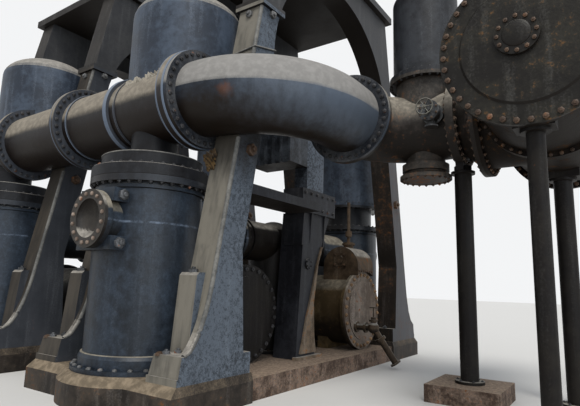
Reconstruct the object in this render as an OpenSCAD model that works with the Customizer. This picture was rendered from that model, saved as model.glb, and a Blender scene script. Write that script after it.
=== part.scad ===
// Lower stage of a large vertical steam pumping engine: two units of A-frames over
// pump chambers, a delivery main along the front, and a surface condenser on columns.
// All sizes are millimetres, +Z up, origin on the floor under the middle of the machine.

/* [Layout] */
// Distance between the two engine units along the row
unit_pitch = 4500; // [4200:50:5000]
// Distance between the two A-frames of a unit, centre to centre
frame_gap = 2580; // [2500:10:2900]
// Thickness of an A-frame leg along the row
leg_t = 460; // [360:10:500]
// Distance from the chamber row to the engine's centre line
half_span = 3210; // [3050:10:3400]

/* [Base] */
// Height of the masonry plinth above the floor
plinth_h = 307; // [200:10:360]
// Height of the cast bed plates
bed_h = 406; // [380:2:460]
// Distance from the chamber row to the front edge of a bed plate
bed_front = 800; // [750:10:900]
// Distance from the chamber row to the inner edge of a bed plate
bed_back = 700; // [600:10:800]
// Height and width of the sloping upper edge of a bed plate
bed_bevel = 110; // [60:5:140]

/* [A-frames] */
// Height of the foot block above the bed plate
foot_h = 334; // [250:2:400]
// Width of a foot along the row
foot_w = 550; // [500:10:600]
// How far a foot reaches in front of the chamber row
foot_front = 690; // [600:10:740]
// How far a foot reaches behind the chamber row
foot_back = 500; // [460:10:560]
// Height of the joint between a leg and the frame head
leg_top_z = 6050; // [5900:10:6300]
// Height of the centre of the arch inside a frame
arch_z = 5300; // [5100:10:5500]
// Distance from the chamber row to the spring of the arch inside a frame
arch_spring = 970; // [900:10:1100]
// Height of the top face of the frame heads
head_top_z = 8000; // [7800:10:8400]
// Thickness of the top deck plate
deck_t = 160; // [100:10:250]

/* [Pump chambers] */
// Outside radius of a chamber body
chamber_r = 783; // [700:1:800]
// Radius of the chamber's base flange
base_flange_r = 930; // [900:5:960]
// Radius of the joint flange at the chamber's head
head_flange_r = 890; // [850:5:920]
// Height of the joint face at the chamber's head
chamber_top_z = 3095; // [2900:5:3200]
// Height of the side port's centre
port_z = 2454; // [2300:2:2550]
// Outside radius of the side port's flange
port_r = 405; // [360:5:440]
// Distance from the chamber's axis to the face of the port flange
port_reach = 1000; // [960:5:1050]
// Radius of the branches to the suction pipe
suction_r = 380; // [330:5:390]
// Distance from the chamber's axis to the joint with the suction pipe
suction_joint = 1870; // [1700:10:2000]

/* [Main] */
// Height of the main's axis
main_z = 4298; // [4200:2:4400]
// Outside radius of the main
pipe_r = 560; // [520:5:580]
// Outside radius of the main's flanges
flange_r = 725; // [680:5:745]
// Thickness of one flange of the main
flange_t = 60; // [40:5:80]
// Radius of a tee's branch down to its chamber
tee_neck_r = 700; // [640:5:730]
// Distance from the unit's centre to the elbow joint
elbow_joint = 970; // [900:5:1000]
// Distance from the unit's centre to the left joint of a tee
tee_left = 1862; // [1800:2:1950]
// Distance from the second unit's centre to the right joint of its tee
tee2_right = 629; // [560:1:700]
// Centre line radius of the elbow
elbow_r = 1434; // [1380:2:1500]
// Straight stretch after the elbow
elbow_straight = 341; // [250:1:400]
// Centre line radius of the return bend
bend_r = 1045; // [1000:5:1100]
// Straight stretch after the return bend
bend_straight = 386; // [340:2:420]

/* [Air vessels] */
// Outside radius of an air vessel
vessel_r = 930; // [850:5:950]
// Distance of an air vessel's axis behind the main's axis
vessel_back = 550; // [500:10:600]
// Height at which the dome of an air vessel starts
vessel_shoulder_z = 5950; // [5700:10:6100]
// Height of the dome of an air vessel
dome_h = 480; // [300:10:600]
// Radius of the small air vessel on the return bend
small_vessel_r = 550; // [480:5:580]
// Height of the small air vessel's shoulder
small_vessel_z = 6550; // [6000:10:6800]

/* [Condenser] */
// Outside radius of the condenser shell
shell_r = 840; // [800:5:880]
// Outside radius of the condenser's end cover
cover_r = 940; // [900:5:960]
// Length of the condenser shell
shell_len = 3720; // [3500:10:4000]
// Distance from the chamber row to the face of the end cover
cover_y = 530; // [450:10:600]
// Distance from the reducer's wide joint to the condenser's axis
shell_reach = 950; // [940:5:1000]
// Radius of the reducer's wide end
reducer_r = 790; // [740:5:800]
// Length of the reducer between its flanges
reducer_len = 260; // [220:5:320]
// Distance of the shell's joint rings from the inlet's axis
shell_joint = 750; // [700:10:900]
// Radius of the front column under the condenser
front_column_r = 97; // [90:1:120]
// Radius of the two thicker columns
column_r = 133; // [120:1:160]

/* [Drums] */
// Outside radius of the two low drums
drum_r = 730; // [680:5:760]
// Radius of the drums' end covers
drum_cover_r = 815; // [790:5:830]
// Distance of a drum's axis from the engine's centre line
drum_side = 1610; // [1560:10:1660]
// Length of the two low drums
drum_len = 5600; // [5000:50:6000]

/* [Gate valve] */
// Radius of the handwheel's rim
wheel_r = 135; // [110:1:160]
// Radius of the handwheel's rim section
rim_r = 11; // [8:1:14]
// Radius of the valve's stem
stem_r = 14; // [10:1:18]
// Running clearance between the stem and its bore in the gland
stem_gap = 0.05; // [0.02:0.01:0.1]

/* [Hidden] */

$fn = 96;
// Gap under a curved seat
seat_gap = 0.3;

unit_x = [-220, -220 - unit_pitch];
frame_x = [for (u = unit_x) for (s = [1, -1]) u + s * frame_gap / 2];
rear_y = 2 * half_span;
arch_r = half_span - arch_spring;
foot_top_z = bed_h + foot_h;

elbow_x0 = unit_x[0] + elbow_joint;
elbow_end_x = elbow_x0 + flange_t + elbow_r;
elbow_end_y = elbow_r + elbow_straight + flange_t;
bend_start_y = elbow_end_y + flange_t;
branch_y = bend_start_y + bend_r;
bend_end_x = elbow_end_x + bend_r + bend_straight;
reducer_x0 = bend_end_x + flange_t;
reducer_x1 = reducer_x0 + 2 * flange_t + reducer_len;
shell_x = reducer_x1 + shell_reach;
shell_y0 = cover_y + 2 * flange_t;
shell_y1 = shell_y0 + shell_len;
wide_flange_r = reducer_r + 125;

tee1_left_x = unit_x[0] - tee_left;
tee2_right_x = unit_x[1] + tee2_right;
tee2_left_x = unit_x[1] - tee_left;
end_cover_t = 90;

x_low = tee2_left_x - end_cover_t;
x_high = shell_x + cover_r;
shift_x = -(x_low + x_high) / 2;
shift_y = -half_span;

vessel_low_z = main_z + 150;
ring_gap = 5;
rear_neck_z = chamber_top_z + 520;

cast_blue = [0.27, 0.30, 0.34];
cast_dark = [0.16, 0.17, 0.18];
dusty = [0.48, 0.45, 0.40];
rusty = [0.40, 0.27, 0.18];
stone = [0.50, 0.42, 0.36];

module at_site() translate([shift_x, shift_y, 0]) children();
module to_rear() translate([0, rear_y, 0]) mirror([0, 1, 0]) children();
module along_x(p) translate(p) rotate([0, 90, 0]) children();
module along_y(p) translate(p) rotate([-90, 0, 0]) children();

// A disc with a rounded rim, its lower face at z = 0
module rounded_disc(r, h, round) {
  rotate_extrude() {
    square([r - round, h]);
    square([r, h - round]);
    translate([r - round, h - round]) circle(round, $fn = 24);
  }
}

// A dome over a cylinder of radius r: a flattened cap with a rounded shoulder
module dome(r, h) {
  rotate_extrude()
    polygon(concat([[0, 0]], [for (a = [0:7.5:90]) [r * cos(a), h * sin(a)]]));
}

// Base

module masonry_plinth() color(stone) {
  x0 = frame_x[3] - foot_w / 2;
  x1 = frame_x[0] + foot_w / 2 - 15;
  translate([x0, bed_back, 0]) cube([x1 - x0, rear_y - 2 * bed_back, plinth_h]);
}

block_w = 1050;
block_h = 250;
module column_block() color(stone)
  translate([main_column_x - block_w / 2, branch_y - block_w / 2, 0]) cube([block_w, block_w, block_h]);

// A plate with sloping upper edges, and a round lobe in front of the chamber
bed_end = 40;
module bed_plate() {
  w = frame_gap + foot_w + 2 * bed_end;
  lobe_r = base_flange_r + 150;
  hull() {
    translate([-w / 2, -bed_front, 0]) cube([w, bed_front + bed_back, bed_h - bed_bevel]);
    translate([-w / 2 + bed_end, -bed_front + bed_bevel, 0])
      cube([w - 2 * bed_end, bed_front + bed_back - bed_bevel, bed_h]);
  }
  intersection() {
    union() {
      cylinder(r = lobe_r, h = bed_h - bed_bevel);
      translate([0, 0, bed_h - bed_bevel]) cylinder(r1 = lobe_r, r2 = lobe_r - bed_bevel, h = bed_bevel);
    }
    translate([-lobe_r, -lobe_r, 0]) cube([2 * lobe_r, lobe_r, bed_h]);
  }
}
module bed_plate_front(u) color(cast_dark) translate([unit_x[u], 0, 0]) bed_plate();
module bed_plate_rear(u) color(cast_dark) to_rear() translate([unit_x[u], 0, 0]) bed_plate();

// A-frame legs, drawn as profiles in the plane across the row

front_low = [-105, 1953];
front_lean = 0.182;
inner_low = [400, 2090];
function front_y(z) = front_low[0] + (z - front_low[1]) * front_lean;
function arch_y(z) = half_span - sqrt(arch_r * arch_r - (z - arch_z) * (z - arch_z));
function inner_y(z) = inner_low[0] + (z - inner_low[1]) * (arch_spring - inner_low[0]) / (arch_z - inner_low[1]);
module shank_profile()
  polygon(concat(
    [[front_y(foot_top_z), foot_top_z - 1], [front_y(leg_top_z), leg_top_z]],
    [for (i = [3:-1:0]) let (z = arch_z + (leg_top_z - arch_z) * i / 3) [arch_y(z), z]],
    [inner_low, [foot_back, foot_top_z - 1]]));
// The outer edge of a leg flares into the foot along a quarter of an ellipse
flare = 270;
flare_top_z = 1650;
function flare_z(a) = flare_top_z - (flare_top_z - foot_top_z) * sin(a);
module ridge_profile()
  polygon(concat(
    [for (a = [0:9:90]) [front_y(flare_z(a)) - flare * (1 - cos(a)), flare_z(a)]],
    [[front_y(foot_top_z) - flare, bed_h], [foot_back + foot_ledge / 2, bed_h],
     [foot_back, foot_top_z], inner_low, [front_y(inner_low[1]), inner_low[1]]]));
module yz_plate(x, t) translate([x, 0, 0]) rotate([90, 0, 90]) linear_extrude(t) children();
boss_top_z = 1760;
leg_collar = 60;
ridge_t = 130;
foot_ledge = 160;
ledge_h = 284;
sole_h = 84;
leg_shift = (foot_w - leg_t) / 2;
module leg() {
  outer = foot_w / 2;
  yz_plate(outer - leg_t, leg_t) shank_profile();
  yz_plate(outer - ridge_t, ridge_t) ridge_profile();
  // Boss for the long holding-down bolt
  yz_plate(-outer + 50, leg_t - 130)
    polygon([[-370, foot_top_z - 1], [-290, boss_top_z - 40], [-250, boss_top_z],
             [0, boss_top_z], [0, foot_top_z - 1]]);
  // Foot block with sloping sides on its wider sole
  translate([-outer, -foot_front, bed_h]) cube([foot_w, foot_front + foot_back, sole_h]);
  hull() {
    translate([-outer + 15, -foot_front + 20, bed_h]) cube([foot_w - 15, foot_front + foot_back - 20, sole_h]);
    translate([-outer + 50, -foot_front + 60, bed_h]) cube([foot_w - 50, foot_front + foot_back - 60, foot_h]);
  }
  // Ledge at the back with a holding-down bolt
  translate([-outer + 15, 0, bed_h]) cube([foot_w - 15, foot_back + foot_ledge, ledge_h]);
  // Collar at the joint with the frame head
  translate([outer - leg_t - leg_collar, front_y(leg_top_z) - leg_collar, leg_top_z - leg_collar])
    cube([leg_t + 2 * leg_collar,
          arch_y(leg_top_z) - front_y(leg_top_z) + 2 * leg_collar, leg_collar]);
}
// The main lies in a recess of the front legs, and the elbow in that of the first one
recess_gap = 10;
module front_leg(i) color(cast_blue) difference() {
  translate([frame_x[i], 0, 0]) leg();
  if (i == 0) elbow_sweep(pipe_r + recess_gap);
  else along_x([frame_x[i] - leg_t, 0, main_z]) cylinder(r = pipe_r + recess_gap, h = 2 * leg_t);
}
module rear_leg(i) color(cast_blue) to_rear() translate([frame_x[i], 0, 0]) leg();

// Frame heads: the arch over each pair of legs, and the deck plate over a unit

module head_profile() {
  difference() {
    polygon([[front_y(leg_top_z), leg_top_z], [front_y(head_top_z), head_top_z],
             [rear_y - front_y(head_top_z), head_top_z], [rear_y - front_y(leg_top_z), leg_top_z]]);
    translate([half_span, arch_z]) circle(arch_r, $fn = 128);
  }
}
module frame_head(u) color(cast_blue) translate([unit_x[u] + leg_shift, 0, 0]) {
  for (s = [1, -1]) translate([s * frame_gap / 2, 0, 0]) {
    yz_plate(-leg_t / 2, leg_t) head_profile();
    for (m = [0, 1]) translate([0, m * rear_y, 0]) mirror([0, m, 0])
      translate([-leg_t / 2 - leg_collar, front_y(leg_top_z) - leg_collar, leg_top_z])
        cube([leg_t + 2 * leg_collar,
              arch_y(leg_top_z) - front_y(leg_top_z) + 2 * leg_collar, leg_collar]);
  }
  deck_y = front_y(head_top_z) - 120;
  translate([-frame_gap / 2 - leg_t / 2 - 120, deck_y, head_top_z])
    cube([frame_gap + leg_t + 240, rear_y - 2 * deck_y, deck_t]);
}

// Pump chambers

module chamber() {
  rotate_extrude() polygon([
    [0, bed_h], [base_flange_r, bed_h], [base_flange_r, bed_h + 60], [chamber_r + 55, bed_h + 60],
    [chamber_r + 55, bed_h + 180], [chamber_r + 25, bed_h + 230], [chamber_r, bed_h + 235],
    [chamber_r, chamber_top_z - 190], [chamber_r + 30, chamber_top_z - 180],
    [chamber_r + 30, chamber_top_z - 130], [chamber_r + 5, chamber_top_z - 120],
    [chamber_r + 5, chamber_top_z - 95], [head_flange_r, chamber_top_z - 95],
    [head_flange_r, chamber_top_z], [0, chamber_top_z]]);
}
// Side port with its clamping lugs, and the branch at the back to the suction pipe
dish_r = 270;
dish_depth = 110;
module whole_chamber() difference() {
  union() {
    chamber();
    along_y([0, -port_reach, port_z]) cylinder(r = port_r - 70, h = port_reach);
    along_y([0, -port_reach, port_z]) cylinder(r = port_r, h = 75);
    for (s = [1, -1]) translate([-port_r + 20, -port_reach + 75, port_z + s * 330 - 95])
      cube([2 * port_r - 40, 330, 190]);
    along_y([0, 0, port_z]) cylinder(r = suction_r, h = suction_joint);
    along_y([0, suction_joint - flange_t, port_z]) cylinder(r = suction_r + 75, h = flange_t);
  }
  // Pocket for the dished cover
  along_y([0, -port_reach - 1, port_z]) cylinder(r = dish_r + 5, h = dish_depth + 31);
}
module pump_chamber(u) color(cast_blue) translate([unit_x[u], 0, 0]) whole_chamber();
module rear_pump_chamber(u) color(cast_blue) to_rear() translate([unit_x[u], 0, 0]) {
  whole_chamber();
  // Neck that carries the rear air vessel
  translate([0, 0, chamber_top_z]) cylinder(r = chamber_r - 130, h = rear_neck_z - chamber_top_z);
  translate([0, 0, rear_neck_z - flange_t]) cylinder(r = head_flange_r, h = flange_t);
}

cover_t = 45;
dish_t = 25;
module port_cover() {
  // Cover with a dish that is hollow towards the outside
  bowl = cover_t + dish_depth;
  along_y([0, -port_reach - cover_t, port_z]) rotate_extrude() polygon(concat(
    [for (a = [0:10:90]) [dish_r * sin(a), bowl * cos(a)]],
    [[port_r, 0], [port_r, cover_t], [dish_r, cover_t]],
    [for (a = [80:-10:0]) [dish_r * sin(a), bowl * cos(a) + dish_t]]));
}
module front_port_cover(u) color(dusty) translate([unit_x[u], 0, 0]) port_cover();
module rear_port_cover(u) color(dusty) to_rear() translate([unit_x[u], 0, 0]) port_cover();

// Delivery main

module main_flange(x, r = flange_r, t = flange_t)
  along_x([x, 0, main_z]) cylinder(r = r, h = t);
// Rings round a tee, each as place from the unit's centre, width and radius
tee_rings = [
  [[-tee_left + 190, 25, pipe_r + 25], [-500, 75, pipe_r + 60], [-310, 25, pipe_r + 25],
   [elbow_joint - 250, 100, pipe_r + 100], [elbow_joint - 150, 150, flange_r + 14]],
  [[tee2_right - 190, 25, pipe_r + 25], [tee2_right - flange_t, flange_t, flange_r]]];
module ring_stack(u, grow = 0)
  for (r = tee_rings[u]) along_x([unit_x[u] + r[0] - grow, 0, main_z])
    cylinder(r = r[2] + grow, h = r[1] + 2 * grow);
module tee(u, x0, x1) color(dusty) difference() {
  union() {
    along_x([x0, 0, main_z]) cylinder(r = pipe_r, h = x1 - x0);
    main_flange(x0);
    ring_stack(u);
    // Branch down to the chamber
    translate([unit_x[u], 0, chamber_top_z]) cylinder(r = head_flange_r, h = 95);
    translate([unit_x[u], 0, chamber_top_z]) cylinder(r = tee_neck_r, h = main_z - chamber_top_z);
    translate([unit_x[u], 0, chamber_top_z + 125]) cylinder(r = tee_neck_r + 60, h = 75);
  }
  // Relief for the flange of the next piece
  along_x([x1, 0, main_z]) cylinder(r = flange_r + 5, h = 2 * flange_t);
}
module main_tee_1() tee(0, tee1_left_x, elbow_x0);
module main_tee_2() tee(1, tee2_left_x, tee2_right_x);
module main_pipe() color(dusty) {
  along_x([tee2_right_x, 0, main_z]) cylinder(r = pipe_r, h = tee1_left_x - tee2_right_x);
  main_flange(tee2_right_x);
  main_flange(tee1_left_x - flange_t);
}
module main_end_cover() color(dusty) {
  along_x([x_low, 0, main_z]) rotate([180, 0, 0]) translate([0, 0, -end_cover_t])
    rounded_disc(flange_r, end_cover_t, 20);
}
module elbow_sweep(r)
  translate([elbow_x0 + flange_t, elbow_r, main_z]) rotate([0, 0, -90])
    rotate_extrude(angle = 90, $fn = 128) translate([elbow_r, 0]) circle(r);
module main_elbow() color(cast_blue) {
  main_flange(elbow_x0);
  elbow_sweep(pipe_r);
  along_y([elbow_end_x, elbow_r, main_z]) cylinder(r = pipe_r, h = elbow_straight);
  along_y([elbow_end_x, elbow_end_y - flange_t, main_z]) cylinder(r = flange_r, h = flange_t);
}
module return_bend() color(rusty) {
  along_y([elbow_end_x, elbow_end_y, main_z]) cylinder(r = flange_r, h = flange_t);
  translate([elbow_end_x + bend_r, bend_start_y, main_z]) rotate([0, 0, 90])
    rotate_extrude(angle = 90, $fn = 128) translate([bend_r, 0]) circle(pipe_r);
  along_x([elbow_end_x + bend_r, branch_y, main_z]) cylinder(r = pipe_r, h = bend_straight);
  along_x([bend_end_x, branch_y, main_z]) cylinder(r = flange_r, h = flange_t);
  // Branch up to the small air vessel
  translate([small_x, branch_y, main_z]) cylinder(r = neck_r, h = small_neck_z - main_z);
  translate([small_x, branch_y, small_neck_z - flange_t]) cylinder(r = small_vessel_r + 70, h = flange_t);
  // Branch down
  translate([lower_x, branch_y, lower_z]) cylinder(r = lower_r, h = main_z - lower_z);
  translate([lower_x, branch_y, lower_z]) cylinder(r = lower_r + 60, h = flange_t);
  // Boss for the gate valve
  along_y([valve_x, branch_y - pipe_r - 60, main_z]) cylinder(r = 120, h = 300);
}
neck_r = 500;
small_x = elbow_end_x + bend_r - 120;
small_neck_z = main_z + flange_r + 80;
lower_x = small_x - 40;
lower_z = main_z - pipe_r - 140;
lower_r = 320;
lower_flange_r = 420;

module reducer() color(rusty) {
  along_x([reducer_x0, branch_y, main_z]) rotate_extrude() polygon([
    [0, 0], [flange_r, 0], [flange_r, flange_t], [pipe_r, flange_t],
    [reducer_r, flange_t + reducer_len], [wide_flange_r, flange_t + reducer_len],
    [wide_flange_r, 2 * flange_t + reducer_len], [0, 2 * flange_t + reducer_len]]);
}

// Short branch with a blank cover under the return bend
lower_len = 190;
module lower_branch() color(rusty) translate([lower_x, branch_y, lower_z - lower_len]) {
  cylinder(r = lower_flange_r, h = flange_t);
  cylinder(r = lower_r, h = lower_len);
  translate([0, 0, lower_len - flange_t]) cylinder(r = lower_r + 60, h = flange_t);
}

// Air vessels

module front_air_vessel(u) color(cast_blue) difference() {
  translate([unit_x[u], vessel_back, 0]) {
    translate([0, 0, vessel_low_z]) cylinder(r = vessel_r, h = vessel_shoulder_z - vessel_low_z);
    translate([0, 0, vessel_shoulder_z]) dome(vessel_r, dome_h);
  }
  // The vessel is saddled on the main, and clears its rings and the next piece's flange
  along_x([unit_x[u] - 2 * vessel_r, 0, main_z]) cylinder(r = pipe_r + seat_gap, h = 4 * vessel_r);
  ring_stack(u, ring_gap);
  if (u == 1) along_x([tee2_right_x, 0, main_z]) cylinder(r = flange_r + ring_gap, h = flange_t + 3 * ring_gap);
}
module rear_air_vessel(u) color(cast_blue) to_rear() translate([unit_x[u], 0, 0]) {
  translate([0, 0, rear_neck_z]) cylinder(r = head_flange_r, h = flange_t);
  translate([0, 0, rear_neck_z]) cylinder(r = vessel_r - 80, h = vessel_shoulder_z - rear_neck_z);
  translate([0, 0, vessel_shoulder_z]) dome(vessel_r - 80, dome_h);
}

module small_air_vessel() color(cast_dark) translate([small_x, branch_y, 0]) {
  translate([0, 0, small_neck_z]) cylinder(r = small_vessel_r + 70, h = flange_t);
  translate([0, 0, small_neck_z]) cylinder(r = small_vessel_r, h = small_vessel_z - small_neck_z);
  translate([0, 0, small_vessel_z]) dome(small_vessel_r, dome_h * 0.6);
}

// Gate valve on the front of the return bend

valve_x = small_x + 310;
valve_face_y = branch_y - pipe_r - 60;
wheel_y = valve_face_y - 430;
gland_y = valve_face_y - 330;
valve_body_r = 125;
valve_flange_r = 160;
gland_r = 42;
stem_depth = 60;
module gate_valve() color(cast_dark) {
  bore = stem_r + stem_gap;
  along_y([valve_x, gland_y, main_z]) rotate_extrude() polygon([
    [bore, 0], [gland_r, 0], [gland_r, 80], [valve_flange_r, 80], [valve_flange_r, 108],
    [valve_flange_r - 12, 108], [valve_flange_r - 12, 112], [valve_flange_r, 112],
    [valve_flange_r, 140], [valve_body_r, 140], [valve_body_r, 290], [valve_flange_r + 5, 290],
    [valve_flange_r + 5, valve_face_y - gland_y], [0, valve_face_y - gland_y],
    [0, stem_depth + 10], [bore, stem_depth + 10]]);
  // Drain stub under the body
  translate([valve_x, gland_y + 215, main_z - 230]) cylinder(r = 60, h = 230);
  translate([valve_x, gland_y + 215, main_z - 230]) cylinder(r = 100, h = 25);
}
module handwheel() color(cast_dark) {
  along_y([valve_x, wheel_y, main_z]) {
    rotate_extrude() translate([wheel_r - rim_r, 0]) circle(rim_r, $fn = 24);
    translate([0, 0, -18]) cylinder(r = 26, h = 36);
    for (a = [0:60:300]) rotate([0, 0, a]) rotate([0, 90, 0]) cylinder(r = 7, h = wheel_r - rim_r);
  }
  along_y([valve_x, wheel_y - 30, main_z]) cylinder(r = stem_r, h = gland_y + stem_depth - wheel_y + 30);
}

// Condenser on its columns

front_column_y = cover_y + 280;
rear_column_y = shell_y1 - 750;
main_column_x = bend_end_x + flange_t;
module condenser_shell() color(cast_dark) {
  along_y([shell_x, shell_y0 - flange_t, main_z]) cylinder(r = cover_r, h = flange_t);
  along_y([shell_x, shell_y0, main_z]) cylinder(r = shell_r, h = shell_len);
  along_y([shell_x, shell_y1, main_z]) cylinder(r = cover_r, h = flange_t);
  for (d = [0, flange_t + 5]) along_y([shell_x, branch_y - shell_joint + d, main_z])
    cylinder(r = shell_r + 75, h = flange_t);
  // Side inlet that takes the reducer
  along_x([reducer_x1, branch_y, main_z]) cylinder(r = wide_flange_r, h = flange_t);
  along_x([reducer_x1, branch_y, main_z]) cylinder(r = reducer_r, h = shell_reach);
}
module condenser_cover() color(cast_dark)
  along_y([shell_x, cover_y, main_z]) rotate_extrude()
    polygon([[0, 0], [cover_r - 250, 0], [cover_r - 225, 22], [cover_r, 22],
             [cover_r, flange_t], [0, flange_t]]);
module manhole_cover() color(cast_dark)
  along_y([shell_x - 90, cover_y, main_z + 80]) rotate([180, 0, 0]) rotate_extrude() polygon(concat(
    [[0, 0], [235, 0], [235, 42], [165, 42]],
    [for (a = [0:15:90]) [150 * cos(a), 42 + 30 * sin(a)]]));
module condenser_rear_cover() color(cast_dark)
  along_y([shell_x, shell_y1 + flange_t, main_z]) rounded_disc(cover_r, flange_t, 15);

module condenser_column(y, r) difference() {
  translate([shell_x, y, 0]) {
    cylinder(r = r + 80, h = 40);
    cylinder(r = r, h = main_z - shell_r);
    translate([0, 0, main_z - shell_r - 130]) cylinder(r = r + 60, h = 40);
    translate([-r - 110, -r - 50, main_z - shell_r - 90]) cube([2 * r + 220, 2 * r + 100, 130]);
  }
  along_y([shell_x, y - 400, main_z]) cylinder(r = shell_r + seat_gap, h = 800);
}
module condenser_front_column() color(cast_dark) condenser_column(front_column_y, front_column_r);
module condenser_rear_column() color(cast_dark) condenser_column(rear_column_y, column_r);
module main_column() color(cast_dark) difference() {
  translate([main_column_x, branch_y, 0]) {
    translate([0, 0, block_h]) cylinder(r = column_r + 80, h = 40);
    translate([0, 0, block_h]) cylinder(r = column_r, h = main_z - block_h - flange_r);
    translate([0, 0, main_z - flange_r - 130]) cylinder(r = column_r + 50, h = 40);
    translate([-flange_t, -column_r - 70, main_z - flange_r - 90])
      cube([2 * flange_t, 2 * column_r + 140, 120]);
  }
  along_x([main_column_x - 200, branch_y, main_z]) cylinder(r = flange_r + seat_gap, h = 400);
}

// Low drums between the legs, and what stands on them

drum_z = plinth_h + drum_cover_r + 5;
front_drum_x = frame_x[0] - 620;
rear_drum_x = frame_x[0] - 75;
module drum_body(x) {
  along_x([x - drum_len, 0, drum_z]) cylinder(r = drum_r, h = drum_len);
  along_x([x - flange_t, 0, drum_z]) cylinder(r = drum_cover_r, h = flange_t);
  along_x([x - drum_len, 0, drum_z]) cylinder(r = drum_cover_r, h = flange_t);
  // Cradles on the plinth
  for (f = [0.12, 0.5, 0.88]) difference() {
    translate([x - drum_len * f - 120, -450, plinth_h]) cube([240, 900, drum_z - plinth_h - 200]);
    along_x([x - drum_len * f - 130, 0, drum_z]) cylinder(r = drum_r - 1, h = 260);
  }
}
module drum_cover(x) along_x([x, 0, drum_z]) {
  cylinder(r = drum_cover_r, h = 45);
  cylinder(r = drum_cover_r - 190, h = 60);
}
module front_drum() color(cast_dark)
  translate([0, half_span - drum_side, 0]) drum_body(front_drum_x);
module front_drum_cover() color(cast_dark)
  translate([0, half_span - drum_side, 0]) drum_cover(front_drum_x);
module rear_drum() color(rusty)
  translate([0, half_span + drum_side, 0]) drum_body(rear_drum_x);
module rear_drum_cover() color(rusty)
  translate([0, half_span + drum_side, 0]) drum_cover(rear_drum_x);

// Suction pipe on the engine's centre line, with a branch to the front and the rear chamber
suction_pipe_r = 450;
module suction_pipe(u) color(cast_dark) translate([unit_x[u], half_span, 0]) {
  reach = half_span - suction_joint;
  translate([0, 0, plinth_h]) cylinder(r = suction_pipe_r, h = port_z - plinth_h);
  translate([0, 0, plinth_h]) cylinder(r = suction_pipe_r + 90, h = flange_t);
  translate([0, 0, port_z]) sphere(r = suction_pipe_r);
  for (m = [0, 1]) mirror([0, m, 0]) {
    along_y([0, 0, port_z]) cylinder(r = suction_r, h = reach);
    along_y([0, reach - flange_t, port_z]) cylinder(r = suction_r + 75, h = flange_t);
    along_y([0, reach - 4.5 * flange_t, port_z]) cylinder(r = suction_r + 35, h = flange_t / 2);
  }
}

// Standard on the centre line: two legs that join over an arch, a head block and a column
standard_x = frame_x[0] - 720;
standard_t = 500;
standard_foot = 660;
standard_head = 460;
standard_head_z = 2990;
arch_half = 420;
arch_low_z = 900;
arch_rise = 1150;
block_half = 610;
block_t = 450;
block_over = 50;
rib_t = 40;
rib_h = 620;
column_t = 290;
column_half = 310;
centre_top_z = 4700;
hand_hole = [-310, 2020, 105];
module centre_column() color(cast_blue) {
  x1 = standard_x + standard_t;
  difference() {
    yz_plate(standard_x, standard_t) polygon([
      [half_span - standard_foot, plinth_h], [half_span - standard_head, standard_head_z],
      [half_span + standard_head, standard_head_z], [half_span + standard_foot, plinth_h]]);
    yz_plate(standard_x - 10, standard_t + 20) polygon(concat(
      [[half_span - arch_half, plinth_h - 1]],
      [for (a = [0:15:180]) [half_span - arch_half * cos(a), arch_low_z + arch_rise * sin(a)]],
      [[half_span + arch_half, plinth_h - 1]]));
  }
  // Head block, and the ribs under its overhang
  translate([x1 + block_over - block_t, half_span - block_half, standard_head_z])
    cube([block_t, 2 * block_half, block_t]);
  for (f = [-0.85, -0.4, 0.4, 0.85])
    translate([x1 + block_over, half_span + f * block_half - rib_t / 2, standard_head_z])
      rotate([-90, 0, 0]) linear_extrude(rib_t)
        polygon([[-block_t, 0], [0, 0], [-block_over * 0.3, 60], [-block_over, rib_h], [-block_t, rib_h]]);
  // Column above the block, and the round cover of a hand hole below it
  translate([x1 - flange_t - column_t, half_span - column_half, standard_head_z + block_t])
    cube([column_t, 2 * column_half, centre_top_z - standard_head_z - block_t]);
  along_x([x1, half_span + hand_hole[0], hand_hole[1]]) cylinder(r = hand_hole[2], h = flange_t / 2);
}

// Ribbed casing on the side of the column
guide_size = [990, 550, 700];
guide_z = 3900;
guide_rib = 60;
module guide_box() color(cast_dark) {
  x1 = standard_x + standard_t - flange_t;
  y1 = half_span - column_half;
  translate([x1 - guide_size[0], y1 - guide_size[1], guide_z]) cube(guide_size);
  for (i = [0:5])
    translate([x1 - guide_size[0] + i * (guide_size[0] - guide_rib) / 5, y1 - guide_size[1] - guide_rib, guide_z])
      cube([guide_rib, 2 * guide_rib, guide_size[2]]);
}

// Valve chest with an arched top on the rear drum, and its rod
chest_x = frame_x[0] - 370;
chest_y = half_span + drum_side;
chest_r = 420;
chest_half = 370;
chest_z = drum_z + drum_r + 190;
chest_flange = 280;
rod_r = 36;
rod_top_z = 3500;
module valve_chest() color(rusty) difference() {
  union() {
    along_y([chest_x, chest_y - chest_half, chest_z]) cylinder(r = chest_r, h = 2 * chest_half);
    translate([chest_x - chest_r, chest_y - chest_half, drum_z])
      cube([2 * chest_r, 2 * chest_half, chest_z - drum_z]);
    // Square flange with its round cover
    translate([chest_x - chest_flange / 2, chest_y - chest_half - 40, chest_z])
      cube([chest_flange, 80, chest_flange]);
    along_y([chest_x, chest_y - chest_half - 60, chest_z + chest_flange / 2])
      cylinder(r = chest_flange * 0.3, h = 40);
    // Stuffing box, rod and collar
    translate([chest_x, chest_y, chest_z]) cylinder(r = 3 * rod_r, h = chest_r + 120);
    translate([chest_x, chest_y, chest_z + chest_r + 60]) cylinder(r = 4 * rod_r, h = 40);
    translate([chest_x, chest_y, chest_z]) cylinder(r = rod_r, h = rod_top_z - chest_z);
    translate([chest_x, chest_y, chest_z + chest_r + 250]) cylinder(r = 2 * rod_r, h = 120);
  }
  along_x([chest_x - 2 * chest_r, chest_y, drum_z]) cylinder(r = drum_r + seat_gap, h = 4 * chest_r);
  along_x([rear_drum_x - flange_t - ring_gap, chest_y, drum_z]) cylinder(r = drum_cover_r + ring_gap, h = chest_r);
}

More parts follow.
